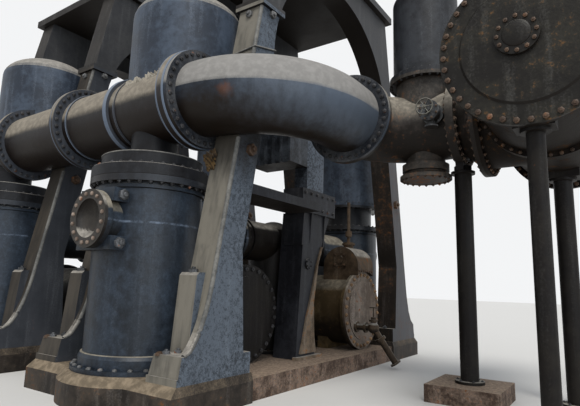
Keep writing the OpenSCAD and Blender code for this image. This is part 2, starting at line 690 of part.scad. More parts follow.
ledge_z = 3100;
ledge_t = 150;
module cross_ledge() color(cast_dark) {
  y0 = inner_y(ledge_z) + seat_gap;
  translate([frame_x[0] - 470, y0, ledge_z - ledge_t])
    cube([leg_t + leg_t / 2, half_span - block_half - y0, ledge_t]);
}

// Drain valve on the rear drum's cover, with its handle and the pipe down to the floor
drain_r = 65;
drain_x = rear_drum_x + 455;
drain_y = half_span + drum_side - 320;
drain_z = drum_z - 330;
drain_foot = [400, 200, 110 - drain_z];
bonnet_h = 215;
handle_r = 10;
handle_in = 70;
module drain_pipe() color(rusty) {
  run = norm(drain_foot);
  x0 = rear_drum_x + 60;
  difference() {
    union() {
      along_x([x0, drain_y, drain_z]) cylinder(r = drain_r, h = drain_x - x0);
      for (x = [x0, drain_x - 190]) along_x([x, drain_y, drain_z]) cylinder(r = drain_r + 45, h = 40);
      translate([drain_x, drain_y, drain_z]) sphere(r = drain_r + 50);
      translate([drain_x, drain_y, drain_z]) cylinder(r = drain_r - 15, h = bonnet_h);
      translate([drain_x, drain_y, drain_z + 125]) cylinder(r = drain_r + 25, h = 40);
    }
    translate([drain_x, drain_y, drain_z + bonnet_h - handle_in - 5])
      cylinder(r = handle_r + stem_gap, h = handle_in + 6);
  }
  translate([drain_x, drain_y, drain_z])
    rotate([0, acos(drain_foot[2] / run), atan2(drain_foot[1], drain_foot[0])]) {
      cylinder(r = drain_r, h = run);
      translate([0, 0, run * 0.28]) cylinder(r = drain_r + 45, h = 60);
      translate([0, 0, run - 30]) cylinder(r = drain_r + 45, h = 30);
    }
}
module drain_handle() color(rusty) {
  translate([drain_x, drain_y, drain_z + bonnet_h - handle_in]) cylinder(r = handle_r, h = handle_in + 200);
  along_x([drain_x - 85, drain_y, drain_z + bonnet_h + 190]) cylinder(r = handle_r + 1, h = 170);
}

at_site() masonry_plinth();
at_site() column_block();
at_site() bed_plate_front(0);  // bed_plate_front_1
at_site() bed_plate_front(1);  // bed_plate_front_2
at_site() bed_plate_rear(0);  // bed_plate_rear_1
at_site() bed_plate_rear(1);  // bed_plate_rear_2
at_site() front_leg(0);  // front_leg_1
at_site() front_leg(1);  // front_leg_2
at_site() front_leg(2);  // front_leg_3
at_site() front_leg(3);  // front_leg_4
at_site() rear_leg(0);  // rear_leg_1
at_site() rear_leg(1);  // rear_leg_2
at_site() rear_leg(2);  // rear_leg_3
at_site() rear_leg(3);  // rear_leg_4
at_site() frame_head(0);  // frame_head_1
at_site() frame_head(1);  // frame_head_2
at_site() pump_chamber(0);  // pump_chamber_1
at_site() pump_chamber(1);  // pump_chamber_2
at_site() rear_pump_chamber(0);  // rear_pump_chamber_1
at_site() rear_pump_chamber(1);  // rear_pump_chamber_2
at_site() front_port_cover(0);  // port_cover_1
at_site() front_port_cover(1);  // port_cover_2
at_site() rear_port_cover(0);  // rear_port_cover_1
at_site() rear_port_cover(1);  // rear_port_cover_2
at_site() main_tee_1();
at_site() main_tee_2();
at_site() main_pipe();
at_site() main_end_cover();
at_site() main_elbow();
at_site() return_bend();
at_site() reducer();
at_site() lower_branch();
at_site() front_air_vessel(0);  // air_vessel_1
at_site() front_air_vessel(1);  // air_vessel_2
at_site() rear_air_vessel(0);  // rear_air_vessel_1
at_site() rear_air_vessel(1);  // rear_air_vessel_2
at_site() small_air_vessel();
at_site() gate_valve();
at_site() handwheel();
at_site() condenser_shell();
at_site() condenser_cover();
at_site() manhole_cover();
at_site() condenser_rear_cover();
at_site() condenser_front_column();
at_site() condenser_rear_column();
at_site() main_column();
at_site() front_drum();
at_site() front_drum_cover();
at_site() rear_drum();
at_site() rear_drum_cover();
at_site() suction_pipe(0);  // suction_pipe_1
at_site() suction_pipe(1);  // suction_pipe_2
at_site() valve_chest();
at_site() centre_column();
at_site() guide_box();
at_site() cross_ledge();
at_site() drain_pipe();
at_site() drain_handle();
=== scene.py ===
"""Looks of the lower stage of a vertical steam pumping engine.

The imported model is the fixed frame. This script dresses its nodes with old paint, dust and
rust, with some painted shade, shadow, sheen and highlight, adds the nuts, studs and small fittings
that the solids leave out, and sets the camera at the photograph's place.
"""

import logging
import math
from dataclasses import dataclass, field
from enum import Enum
from typing import Any, Mapping, Sequence, Union

import bpy
import numpy as np
from mathutils import Matrix, Vector
from numpy.typing import NDArray


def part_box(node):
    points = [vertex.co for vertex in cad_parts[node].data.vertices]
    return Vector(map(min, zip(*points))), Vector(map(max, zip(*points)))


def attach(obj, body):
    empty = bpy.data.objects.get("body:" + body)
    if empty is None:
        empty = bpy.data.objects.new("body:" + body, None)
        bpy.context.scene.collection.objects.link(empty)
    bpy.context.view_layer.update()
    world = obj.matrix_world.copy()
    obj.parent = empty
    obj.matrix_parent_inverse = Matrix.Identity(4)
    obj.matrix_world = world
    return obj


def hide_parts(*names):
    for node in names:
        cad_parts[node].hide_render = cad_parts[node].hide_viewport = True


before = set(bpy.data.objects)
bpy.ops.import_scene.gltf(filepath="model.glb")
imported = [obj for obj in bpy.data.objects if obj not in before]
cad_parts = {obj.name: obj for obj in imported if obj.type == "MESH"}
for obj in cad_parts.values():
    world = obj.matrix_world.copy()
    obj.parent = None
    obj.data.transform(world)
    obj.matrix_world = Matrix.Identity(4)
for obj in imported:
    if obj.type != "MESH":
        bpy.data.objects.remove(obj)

Array = NDArray[np.float64]
Colour = tuple[float, float, float]
Number = Union[int, float]
Faces = NDArray[np.int64]
Outline = Union[Sequence[tuple[float, float]], Array]

log = logging.getLogger("pumping_engine")

ENGINE = "engine"


class Axis(Enum):
    """A direction of the row frame."""

    X = (1.0, 0.0, 0.0)
    Y = (0.0, 1.0, 0.0)
    Z = (0.0, 0.0, 1.0)
    MINUS_Y = (0.0, -1.0, 0.0)

    def vector(self) -> Array:
        """The direction as an array."""
        return np.array(self.value)


class Head(Enum):
    """The visible end of a fastener, as rings of (radius, height, share of hexagon)."""

    NUT = ((1.0, 0.0, 1.0), (1.0, 0.72, 1.0), (0.86, 0.84, 0.3), (0.5, 0.86, 0.0), (0.5, 1.25, 0.0),
           (0.42, 1.32, 0.0))
    DOME = ((1.15, 0.0, 0.0), (1.15, 0.12, 0.0), (0.95, 0.14, 1.0), (0.95, 0.6, 1.0), (0.7, 0.86, 0.0),
            (0.35, 1.0, 0.0))


@dataclass(frozen=True)
class Layout:
    """Driving sizes of the part, in metres, as its source gives them."""

    unit_pitch: float = 4.5
    frame_gap: float = 2.58
    half_span: float = 3.21
    first_unit: float = -0.22
    shift_x: float = 0.3335
    main_z: float = 4.298
    pipe_r: float = 0.56
    flange_r: float = 0.725
    flange_t: float = 0.06
    elbow_joint: float = 0.97
    elbow_r: float = 1.434
    tee_left: float = 1.862
    tee2_right: float = 0.629
    bolt_r: float = 0.66
    chamber_top: float = 3.095
    chamber_bolt_r: float = 0.845
    ring_t: float = 0.165
    port_z: float = 2.454
    port_reach: float = 1.0
    foot_top: float = 0.74
    vessel_r: float = 0.93
    vessel_back: float = 0.55
    saddle_margin: float = 0.03
    saddle_rise: float = 0.12
    suction_joint: float = 1.87
    suction_r: float = 0.38

    def unit(self, number: int) -> float:
        """X of a unit's centre.

        Args:
            number: 0 for the unit at the elbow, 1 for the next.

        Returns:
            The place along the row, in the row frame.
        """
        return self.first_unit - number * self.unit_pitch + self.shift_x

    def frames(self) -> Array:
        """X of the four A-frames, the one at the elbow first."""
        return np.array([self.unit(u) + s * self.frame_gap / 2 for u in (0, 1) for s in (1, -1)])

    def leg_front(self, z: Array) -> Array:
        """Y of a front leg's leading edge, a straight lean.

        Args:
            z: heights.

        Returns:
            The places across the row.
        """
        return self.front_y - 0.105 + (z - 1.953) * 0.182

    @property
    def front_y(self) -> float:
        """Y of the front row of chambers and of the main."""
        return -self.half_span

    @property
    def joints_x(self) -> tuple[float, float, float]:
        """X of the main's joints from the elbow towards the far end."""
        return (self.unit(0) + self.elbow_joint, self.unit(0) - self.tee_left,
                self.unit(1) + self.tee2_right)


LAYOUT = Layout()
# Pale bands round the main's rims, rubbed paint with a painted highlight: place from the first unit, half
# the width, least and greatest distance from the main's axis
HIGHLIGHT_BANDS = tuple((LAYOUT.unit(0) + place, half, low, high) for place, half, low, high in (
    (-0.525, 0.044, 0.607, 0.64), (-0.35, 0.010, 0.573, 0.60), (0.727, 0.012, 0.64, 0.68),
    (0.835, 0.014, 0.715, 0.76), (0.955, 0.020, 0.71, 0.76), (-1.66, 0.014, 0.573, 0.60),
    (-1.875, 0.012, 0.70, 0.745), (-3.93, 0.012, 0.70, 0.745)))
# X and Y of the upright axis that the elbow bends round
ELBOW_CENTRE = (LAYOUT.unit(0) + LAYOUT.elbow_joint + LAYOUT.flange_t, LAYOUT.front_y + LAYOUT.elbow_r)


def tinted(colour: Colour, gain: float, lift: Union[float, Colour] = 0.0) -> Colour:
    """A colour times a gain, with a lift added."""
    return tuple((np.array(colour) * gain + lift).tolist())


def middle(node: str) -> tuple[float, ...]:
    """The middle of a CAD node's box."""
    return tuple((low + high) / 2 for low, high in zip(*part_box(node)))


def rectangle(low: tuple[float, float], high: tuple[float, float]) -> list[tuple[float, float]]:
    """The corners of a rectangle, from its lowest and highest one."""
    return [low, (high[0], low[1]), high, (low[0], high[1])]


@dataclass(frozen=True)
class Field:
    """A value socket of a node tree. Arithmetic on it adds Math nodes."""

    shader: "Shader"
    socket: Any

    def _math(self, operation: str, *values: Union["Field", Number]) -> "Field":
        """Adds one Math node.

        Args:
            operation: the node's operation.
            values: its inputs in order.

        Returns:
            The node's output.
        """
        return self.shader.math(operation, *values)

    def __add__(self, other: Union["Field", Number]) -> "Field":
        """Sum."""
        return self._math("ADD", self, other)

    def __radd__(self, other: Number) -> "Field":
        """Sum with a number in front."""
        return self._math("ADD", other, self)

    def __sub__(self, other: Union["Field", Number]) -> "Field":
        """Difference."""
        return self._math("SUBTRACT", self, other)

    def __rsub__(self, other: Number) -> "Field":
        """A number less this field."""
        return self._math("SUBTRACT", other, self)

    def __mul__(self, other: Union["Field", Number]) -> "Field":
        """Product."""
        return self._math("MULTIPLY", self, other)

    def __rmul__(self, other: Number) -> "Field":
        """Product with a number in front."""
        return self._math("MULTIPLY", other, self)

    def __neg__(self) -> "Field":
        """The negative."""
        return self._math("MULTIPLY", self, -1.0)

    def absolute(self) -> "Field":
        """The value without its sign."""
        return self._math("ABSOLUTE", self)

    def between(self, low: Number, high: Number) -> "Field":
        """A smooth step from 0 at low to 1 at high.

        Args:
            low: the value that gives 0.
            high: the value that gives 1, which may be below low.

        Returns:
            The stepped field.
        """
        node = self.shader.node("ShaderNodeMapRange", {"interpolation_type": "SMOOTHSTEP"},
                                {0: self, 1: low, 2: high, 3: 0.0, 4: 1.0})
        return Field(self.shader, node.outputs[0])


class Shader:
    """One material's node tree, with short calls for the nodes it uses."""

    def __init__(self, name: str) -> None:
        """Makes an empty material with a Principled BSDF.

        Args:
            name: the material's name.
        """
        self.material = bpy.data.materials.new(name)
        self.material.use_nodes = True
        self.tree = self.material.node_tree
        self.bsdf = next(n for n in self.tree.nodes if n.type == "BSDF_PRINCIPLED")
        coords = self.node("ShaderNodeTexCoord")
        self.place = coords.outputs["Object"]
        split = self.node("ShaderNodeSeparateXYZ", {}, {0: self.place})
        self.x, self.y, self.z = (Field(self, o) for o in split.outputs)
        facing = self.node("ShaderNodeSeparateXYZ", {}, {0: coords.outputs["Normal"]})
        self.nx, self.ny, self.nz = (Field(self, o) for o in facing.outputs)

    def node(self, kind: str, settings: Mapping[str, Any] | None = None,
             inputs: Mapping[Union[int, str], Any] | None = None) -> Any:
        """Adds a node.

        Args:
            kind: the node's type.
            settings: its settings, which are set first.
            inputs: values or links of its sockets, by index or name.

        Returns:
            The node.
        """
        made = self.tree.nodes.new(kind)
        for key, value in (settings or {}).items():
            setattr(made, key, value)
        for key, value in (inputs or {}).items():
            self.feed(made.inputs[key], value)
        return made

    def feed(self, socket: Any, value: Any) -> None:
        """Sets a socket to a value, or links it.

        Args:
            socket: the socket to set.
            value: a number, a colour, a socket or a Field.
        """
        if isinstance(value, Field):
            self.tree.links.new(value.socket, socket)
        elif isinstance(value, bpy.types.NodeSocket):
            self.tree.links.new(value, socket)
        elif isinstance(value, tuple) and len(value) == 3 and socket.type == "RGBA":
            socket.default_value = (*value, 1.0)
        else:
            socket.default_value = value

    def math(self, operation: str, *values: Union[Field, Number]) -> Field:
        """Adds a Math node and gives its output."""
        node = self.node("ShaderNodeMath", {"operation": operation}, dict(enumerate(values)))
        return Field(self, node.outputs[0])

    def stretched(self, scale: tuple[float, float, float]) -> Any:
        """Object coordinates scaled along each axis.

        Args:
            scale: the factors along X, Y and Z.

        Returns:
            The vector socket.
        """
        return self.node("ShaderNodeMapping", {"vector_type": "POINT"},
                         {"Vector": self.place, "Scale": scale}).outputs[0]

    def noise(self, scale: float, detail: float = 3.0, vector: Any = None,
              roughness: float = 0.55) -> Field:
        """Fractal noise from 0 to 1.

        Args:
            scale: features per metre.
            detail: octaves.
            vector: the coordinates, or None for the object's.
            roughness: the weight of the finer octaves.

        Returns:
            The noise's value.
        """
        node = self.node("ShaderNodeTexNoise", {}, {"Vector": vector or self.place, "Scale": scale,
                                                    "Detail": detail, "Roughness": roughness})
        return Field(self, node.outputs[0])

    def mix(self, factor: Union[Field, Number], first: Any, second: Any) -> Any:
        """Blends two colours.

        Args:
            factor: 0 for the first colour and 1 for the second.
            first: a colour or a colour socket.
            second: a colour or a colour socket.

        Returns:
            The blended colour's socket.
        """
        node = self.node("ShaderNodeMix", {"data_type": "RGBA"}, {0: factor, 6: first, 7: second})
        return node.outputs[2]

    def finish(self, colour: Any, roughness: Union[Field, Number], metallic: Union[Field, Number] = 0.0,
               height: Field | None = None, depth: float = 0.01, gloss: float = 0.5) -> Any:
        """Feeds the Principled BSDF.

        Args:
            colour: the base colour.
            roughness: the roughness.
            metallic: the metallic share.
            height: a height field for the bump, or None.
            depth: the bump's height in metres.
            gloss: the specular level, the same all over.

        Returns:
            The material.
        """
        self.bsdf.inputs["Specular IOR Level"].default_value = gloss
        self.feed(self.bsdf.inputs["Base Color"], colour)
        self.feed(self.bsdf.inputs["Roughness"], roughness)
        self.feed(self.bsdf.inputs["Metallic"], metallic)
        if height is not None:
            bump = self.node("ShaderNodeBump", {}, {"Strength": 1.0, "Distance": depth, "Height": height})
            self.feed(self.bsdf.inputs["Normal"], bump.outputs[0])
        return self.material


@dataclass(frozen=True)
class ElbowMarks:
    """The newly painted square on the elbow, and the rust spot beside it.

    Both are placed by their height and by the angle round the axis that the elbow bends round.

    Attributes:
        turn: the angle of the square's middle, in radians.
        half_turn: half its width, in radians.
        height: the height of its middle.
        half_height: half its height.
        spot_turn: the angle of the spot.
        spot_height: the height of the spot.
        spot_r: the spot's radius.
        reach: the elbow's outer radius, which makes the spot's angle a length.
    """

    turn: float = -0.893
    half_turn: float = 0.078
    height: float = 4.12
    half_height: float = 0.335
    spot_turn: float = -1.17
    spot_height: float = 4.15
    spot_r: float = 0.15
    reach: float = 1.99

    def over(self, s: Shader, colour: Any, fresh: Colour, rust: Colour, lumps: Field) -> Any:
        """Lays both marks over a colour.

        Args:
            s: the shader.
            colour: the colour below.
            fresh: the new paint's colour.
            rust: the spot's colour.
            lumps: the noise that frays the spot.

        Returns:
            The colour with the marks.
        """
        angle = s.math("ARCTAN2", s.y - ELBOW_CENTRE[1], s.x - ELBOW_CENTRE[0])
        wide = (angle - self.turn).absolute().between(self.half_turn, self.half_turn - 0.006)
        tall = (s.z - self.height).absolute().between(self.half_height, self.half_height - 0.01)
        colour = s.mix(wide * tall * 0.55, colour, fresh)
        aside, above = (angle - self.spot_turn) * self.reach, s.z - self.spot_height
        away = s.math("SQRT", aside * aside + above * above) + (lumps - 0.5) * 0.25
        return s.mix(away.between(self.spot_r, 0.02) * 0.7, colour, rust)


@dataclass(frozen=True)
class Noises:
    """The noises that the layers of one finish share, so that paint, rust and dust agree.

    Attributes:
        broad: large patches.
        middle: patches of a sixth of that size.
        fine: the grain.
        runs: upright streaks.
    """

    broad: Field
    middle: Field
    fine: Field
    runs: Field


@dataclass(frozen=True)
class CastFinish:
    """Old paint on a rough casting, with dust above, painted shade below and rust between.

    Attributes:
        name: the material's name.
        paint: the paint's colour.
        mottle: the worn paint's colour.
        dust: the colour of the dust.
        rust: the colour of the rust.
        shade: the colour of the painted shade on undersides, also used for the other painted shade and
            shadow.
        dust_from: the upward share of a face's normal at which dust starts.
        dust_sharp: the width of the dust's edge.
        front: the colour of the dusty film on faces that look to the front.
        front_film: the strength of that film.
        end_sheen: the strength of a painted sheen, pale and bluish, on faces that look along the row.
        sheen_from: the place along the row where that sheen starts, or None for all of it.
        sheen_lift: what that sheen adds to the worn paint's colour.
        calm: how even the dust lies, from 0 for patchy to 1.
        speckle: the strength of dark speckles where the paint is thin.
        shade_above: the height above which painted shade darkens the paint, or None.
        elbow_shadow: the heights where a painted shadow of the elbow on the leg starts, is full, starts to
            fade and ends.
        clean_plates: whether faces that look along the row stay free of dust.
        dust_above: the height above which dust lies, apart from the ledge, or None for all heights.
        ledge: the height of a dusty ledge near the foot.
        rust_share: how much of the surface rust covers, 0 to 1.
        streaks: the strength of the pale run marks on upright faces.
        highlight_seams: the heights of seams round a chamber, scuffed and with a painted highlight.
        highlight_bands: pale bands round the main, rubbed paint with a painted highlight, each its middle
            along the row, half its width, and its least and greatest distance from the main's axis.
        rubbed_highlight_colour: the pale bluish colour of those seams and bands, rubbed paint and painted
            highlight.
        marks: the elbow's marks, or None.
        rough: the roughness of the clean paint.
        grain: the height of the casting's grain, in metres.
        scale: how coarse the mottle is, in features per metre.
        gloss: the specular level.
    """

    name: str
    paint: Colour
    mottle: Colour
    dust: Colour = (0.27, 0.25, 0.22)
    rust: Colour = (0.16, 0.055, 0.018)
    shade: Colour = (0.012, 0.009, 0.007)
    dust_from: float = 0.5
    dust_sharp: float = 0.16
    front: Colour = (0.21, 0.20, 0.18)
    front_film: float = 0.0
    end_sheen: float = 0.0
    sheen_from: float | None = None
    sheen_lift: Colour = (0.08, 0.098, 0.122)
    calm: float = 0.0
    speckle: float = 0.0
    shade_above: float | None = None
    elbow_shadow: tuple[float, ...] = ()
    clean_plates: bool = False
    dust_above: float | None = None
    ledge: float = 0.645
    rust_share: float = 0.25
    streaks: float = 0.35
    highlight_seams: tuple[float, ...] = ()
    highlight_bands: tuple[tuple[float, float, float, float], ...] = ()
    rubbed_highlight_colour: Colour = (0.15, 0.19, 0.255)
    marks: ElbowMarks | None = None
    rough: float = 0.55
    grain: float = 0.004
    scale: float = 1.6
    gloss: float = 0.2

    def rubbed_highlight(self, s: Shader, n: Noises) -> Field | None:
        """Where edges and seams are rubbed pale, with a painted highlight.

        Args:
            s: the shader.
            n: the noises.

        Returns:
            The mask, or None where the finish has no such places.
        """
        mask: Field | None = None
        uneven = n.middle + n.fine * 0.5
        if self.highlight_bands:
            across = s.y - LAYOUT.front_y
            above = s.z - LAYOUT.main_z
            radius = s.math("SQRT", across * across + above * above)
        for place, half, low, high in self.highlight_bands:
            band = ((s.x - place).absolute().between(half, half - 0.006) * radius.between(low, low + 0.004)
                    * radius.between(high, high - 0.004) * uneven.between(0.35, 0.60))
            mask = band if mask is None else s.math("MAXIMUM", mask, band)
        for height in self.highlight_seams:
            line = (s.z - height).absolute().between(0.022, 0.006) * uneven.between(0.62, 0.98)
            mask = line if mask is None else s.math("MAXIMUM", mask, line)
        return mask

    def dusted(self, s: Shader, n: Noises) -> Field:
        """Where dust lies.

        Args:
            s: the shader.
            n: the noises.

        Returns:
            The mask.
        """
        lying = s.nz + (n.broad - 0.5) * (0.20 * self.patchy) + (n.fine - 0.5) * (0.16 * self.patchy)
        mask = lying.between(self.dust_from, self.dust_from + self.dust_sharp)
        if self.clean_plates:
            mask = mask * s.nx.absolute().between(0.85, 0.6)
        if self.dust_above is not None:
            ledge = (s.z - self.ledge).absolute().between(0.018, 0.010)
            mask = mask * s.math("MAXIMUM", ledge, (s.z - self.dust_above).between(0.0, 0.02))
        return mask

    def films_and_painted_light(self, s: Shader, n: Noises, colour: Any) -> Any:
        """Lays a painted sheen, speckles, the dusty front film and a painted shadow over a colour.

        Args:
            s: the shader.
            n: the noises.
            colour: the colour below.

        Returns:
            The colour with these layers.
        """
        # Painted sheen: faces that look along the row turn paler and bluish.
        if self.end_sheen:
            facing = s.nx + (n.runs - 0.5) * 0.4 + (n.middle - 0.5) * 0.3
            film = facing.between(0.15, 1.05) * self.end_sheen
            if self.sheen_from is not None:
                film = film * (s.x - self.sheen_from).between(0.0, 0.02)
            colour = s.mix(film, colour, tinted(self.mottle, 1.5, self.sheen_lift))
        if self.speckle:
            specks = s.noise(17.0, 6.0, roughness=0.9) * 0.75 + n.broad * 0.25
            colour = s.mix(specks.between(0.455, 0.565) * self.speckle, colour, tinted(self.paint, 0.7))
        if self.front_film:
            facing = -s.ny + (n.middle - 0.5) * 0.7 + (n.runs - 0.5) * 0.5
            patches = s.mix((n.runs * 0.5 + n.broad * 0.5).between(0.40, 0.62), self.front,
                            tinted(self.front, 0.45))
            colour = s.mix(facing.between(0.45, 0.95) * self.front_film, colour, patches)
        # Painted shadow of the elbow: darker between these heights, with ragged edges.
        if self.elbow_shadow:
            start, full, fading, end = self.elbow_shadow
            shadowed = (s.z + (n.runs - 0.5) * 0.8).between(start, full) * s.z.between(end, fading)
            colour = s.mix(shadowed * 0.72, colour, self.shade)
        return colour

    @property
    def patchy(self) -> float:
        """How uneven the dust lies."""
        return 1.0 - 0.8 * self.calm

    def build(self) -> Any:
        """Makes the material, layer over layer from the paint up to the dust.

        Returns:
            The material.
        """
        s = Shader(self.name)
        n = Noises(s.noise(self.scale, 4.0), s.noise(self.scale * 6.0, 4.0, roughness=0.65),
                   s.noise(45.0, 3.0, roughness=0.7), s.noise(1.0, 3.0, s.stretched((9.0, 9.0, 0.7))))
        worn = (n.broad * 0.65 + n.middle * 0.35).between(0.40, 0.64)
        colour = s.mix(worn, self.paint, self.mottle)
        scuffs = (n.runs * 0.6 + n.fine * 0.4).between(0.50, 0.70) * (1.0 - s.nz.absolute()) * self.streaks
        colour = s.mix(scuffs, colour, tinted(self.mottle, 1.6, 0.07))
        # Painted shade: the paint darkens above this height, on the chamber's head flange.
        if self.shade_above is not None:
            colour = s.mix((s.z - self.shade_above).between(0.0, 0.03) * 0.75, colour, self.shade)
        if self.marks is not None:
            colour = self.marks.over(s, colour, tinted(self.mottle, 1.9, 0.012), self.rust, n.middle)
        # Painted shade: undersides darken towards the shade colour.
        below = (s.nz + (n.middle - 0.5) * 0.5).between(0.02, -0.55)
        colour = s.mix(below * 0.9, colour, self.shade)
        spots = (n.middle * 0.55 + n.fine * 0.25 + n.broad * 0.35).between(0.80 - 0.22 * self.rust_share,
                                                                           0.86 - 0.14 * self.rust_share)
        colour = s.mix(spots * min(1.0, 0.35 + self.rust_share), colour, self.rust)
        colour = self.films_and_painted_light(s, n, colour)
        dusted = self.dusted(s, n)
        loose = s.mix(n.middle.between(0.38, 0.68), tinted(self.dust, 1.0 - 0.28 * self.patchy),
                      tinted(self.dust, 1.0 + 0.3 * self.patchy))
        colour = s.mix(dusted * 0.92, colour, loose)
        # Pale rims and seams: rubbed paint with a bluish painted highlight.
        rubbed_highlight = self.rubbed_highlight(s, n)
        if rubbed_highlight is not None:
            colour = s.mix(rubbed_highlight * 0.75, colour, self.rubbed_highlight_colour)
        roughness = self.rough + worn * 0.10 + spots * 0.3 + dusted * 0.4 + (n.fine - 0.5) * 0.12
        return s.finish(colour, roughness, 0.0, n.fine * 0.35 + n.middle * 0.65, self.grain, self.gloss)


@dataclass(frozen=True)
class NutFinish:
    """Worn steel of nuts and studs: dark sides, bright or rusty tops.

    Attributes:
        name: the material's name.
        body: the colour of the sides.
        top: the colour of the worn ends.
        rust_share: how much rust shows.
        rust: the colour of the rust.
    """

    name: str
    body: Colour
    top: Colour
    rust_share: float
    rust: Colour = (0.24, 0.085, 0.03)

    def build(self) -> Any:
        """Makes the material.

        Returns:
            The material.
        """
        s = Shader(self.name)
        fine = s.noise(60.0, 3.0)
        broad = s.noise(7.0, 2.0)
        colour = s.mix((fine * 0.35 + broad * 0.65).between(0.36, 0.66), self.body, self.top)
        colour = s.mix(broad.between(0.66 - 0.3 * self.rust_share, 0.74), colour, self.rust)
        return s.finish(colour, 0.42 + fine * 0.2, 0.3, fine, 0.0008)


def link(name: str, verts: Array, faces: Sequence[Faces], material: Any, smooth: float = 35.0) -> Any:
    """Puts a mesh into the scene as a piece of the object.

    Args:
        name: the piece's name.
        verts: its points, one row each, in the row frame.
        faces: blocks of faces, each with one number of corners.
        material: its material.
        smooth: the angle in degrees above which an edge stays sharp.

    Returns:
        The new object.
    """
    mesh = bpy.data.meshes.new(name)
    mesh.from_pydata(verts, [], [face for block in faces for face in block.tolist()])
    mesh.polygons.foreach_set("use_smooth", np.ones(len(mesh.polygons), bool))
    mesh.set_sharp_from_angle(angle=math.radians(smooth))
    mesh.materials.append(material)
    made = bpy.data.objects.new(name, mesh)
    bpy.context.scene.collection.objects.link(made)
    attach(made, ENGINE)
    log.info("%s: %d faces", name, len(mesh.polygons))
    return made


def grid_faces(rings: int, sides: int, offset: int = 0) -> Faces:
    """Quads between the rings of a closed grid.

    Args:
        rings: how many rings.
        sides: how many points in a ring.
        offset: the index of the first point.

    Returns:
        One row of four indices for each quad, facing outwards.
    """
    ring = np.arange(rings - 1)[:, None] * sides
    side = np.arange(sides)[None, :]
    after = (side + 1) % sides
    quads = np.stack([ring + side, ring + after, ring + sides + after, ring + sides + side], -1)
    return quads.reshape(-1, 4) + offset


def closed_faces(rings: int, sides: int, offset: int = 0) -> list[Faces]:
    """Quads between the rings of a closed grid, and a face over each end.

    Args:
        rings: how many rings.
        sides: how many points in a ring.
        offset: the index of the first point.

    Returns:
        The quads, the first end and the last end, facing outwards.
    """
    first = np.arange(sides)[None, :] + offset
    return [grid_faces(rings, sides, offset), first[:, ::-1], first + (rings - 1) * sides]


def extruded(name: str, parts: Sequence[tuple[Outline, Axis, float, float]], material: Any) -> Any:
    """Closed prisms in one mesh.

    Args:
        name: the piece's name.
        parts: the prisms, each an outline, its axis (X with an outline in Y and Z, or Y with one
            in X and Z), and the places where it starts and ends.
        material: its material.

    Returns:
        The new object.
    """
    verts: list[Array] = []
    faces: list[Faces] = []
    offset = 0
    for outline, axis, low, high in parts:
        flat = np.asarray(outline, float)
        after = np.roll(flat, -1, 0)
        turn = float((flat[:, 0] * after[:, 1] - after[:, 0] * flat[:, 1]).sum())
        if (turn > 0) != (axis is Axis.X):
            flat = flat[::-1]
        for place in (low, high):
            verts.append(np.insert(flat, 0 if axis is Axis.X else 1, place, axis=1))
        faces += closed_faces(2, len(flat), offset)
        offset += 2 * len(flat)
    return link(name, np.concatenate(verts), faces, material, smooth=20.0)


def bases(axes: Array) -> Array:
    """Right-handed bases whose third vector is each axis.

    Args:
        axes: unit vectors, one row each.

    Returns:
        An array of 3 by 3 matrices with the base vectors as rows.
    """
    helper = np.where(np.abs(axes[:, 2:3]) > 0.9, Axis.X.vector(), Axis.Z.vector())
    first = np.cross(helper, axes)
    first /= np.linalg.norm(first, axis=1, keepdims=True)
    return np.stack([first, np.cross(axes, first), axes], 1)


def fasteners(name: str, spots: Array, axes: Array, size: float, material: Any,
              head: Head = Head.NUT) -> Any:
    """Nuts with their stud ends, all in one mesh.

    Each is a grid of rings by angles. A ring's radius blends from a circle to a hexagon,
    apothem over the cosine of the angle from the nearest flat's middle.

    Args:
        name: the piece's name.
        spots: where each one stands, one row each.
        axes: the way each one points.
        size: half the width over the flats, in metres.
        material: the material.
        head: the form of the visible end.

    Returns:
        The new object.
    """
    sides = 12
    angle = np.arange(sides) * 2 * np.pi / sides
    rings = np.array(head.value)
    wedge = (angle + np.pi / 6) % (np.pi / 3) - np.pi / 6
    hexagon = 1 / np.cos(wedge)
    radius = rings[:, :1] * (1 + rings[:, 2:3] * (hexagon[None, :] - 1)) * size
    flat = np.stack([radius * np.cos(angle), radius * np.sin(angle),
                     np.broadcast_to(rings[:, 1:2] * size, radius.shape)], -1).reshape(-1, 3)
    # Each nut is turned a little differently, by a whole-number rule, as hand-tightened nuts are
    spin = (np.arange(len(spots)) * 2.399) % (np.pi / 3)
    cos, sin = np.cos(spin)[:, None], np.sin(spin)[:, None]
    local = np.stack([flat[None, :, 0] * cos - flat[None, :, 1] * sin,
                      flat[None, :, 0] * sin + flat[None, :, 1] * cos,
                      np.broadcast_to(flat[None, :, 2], (len(spots), len(flat)))], -1)
    verts = np.einsum("nkj,nji->nki", local, bases(axes)) + spots[:, None, :]
    count = len(flat)
    quads = grid_faces(len(rings), sides)
    caps = (np.arange(sides) + (len(rings) - 1) * sides)[None, :]
    starts = np.arange(len(spots)) * count
    all_quads = (quads[None] + starts[:, None, None]).reshape(-1, 4)
    all_caps = (caps[None] + starts[:, None, None]).reshape(-1, sides)
    return link(name, verts.reshape(-1, 3), [all_quads, all_caps], material)


def circle_spots(centre: Sequence[float], axis: Array, radius: float, count: int,
                 start: float = 0.0) -> tuple[Array, Array]:
    """Places evenly round a circle.

    Args:
        centre: the circle's centre.
        axis: its normal, and the way the fasteners point.
        radius: its radius.
        count: how many.
        start: the first angle, as a share of the spacing.

    Returns:
        The places and the directions.
    """
    base = bases(axis[None, :])[0]
    angle = (np.arange(count) + start) * 2 * np.pi / count
    spots = np.array(centre) + radius * (np.cos(angle)[:, None] * base[0] + np.sin(angle)[:, None] * base[1])
    return spots, np.repeat(axis[None, :], count, 0)


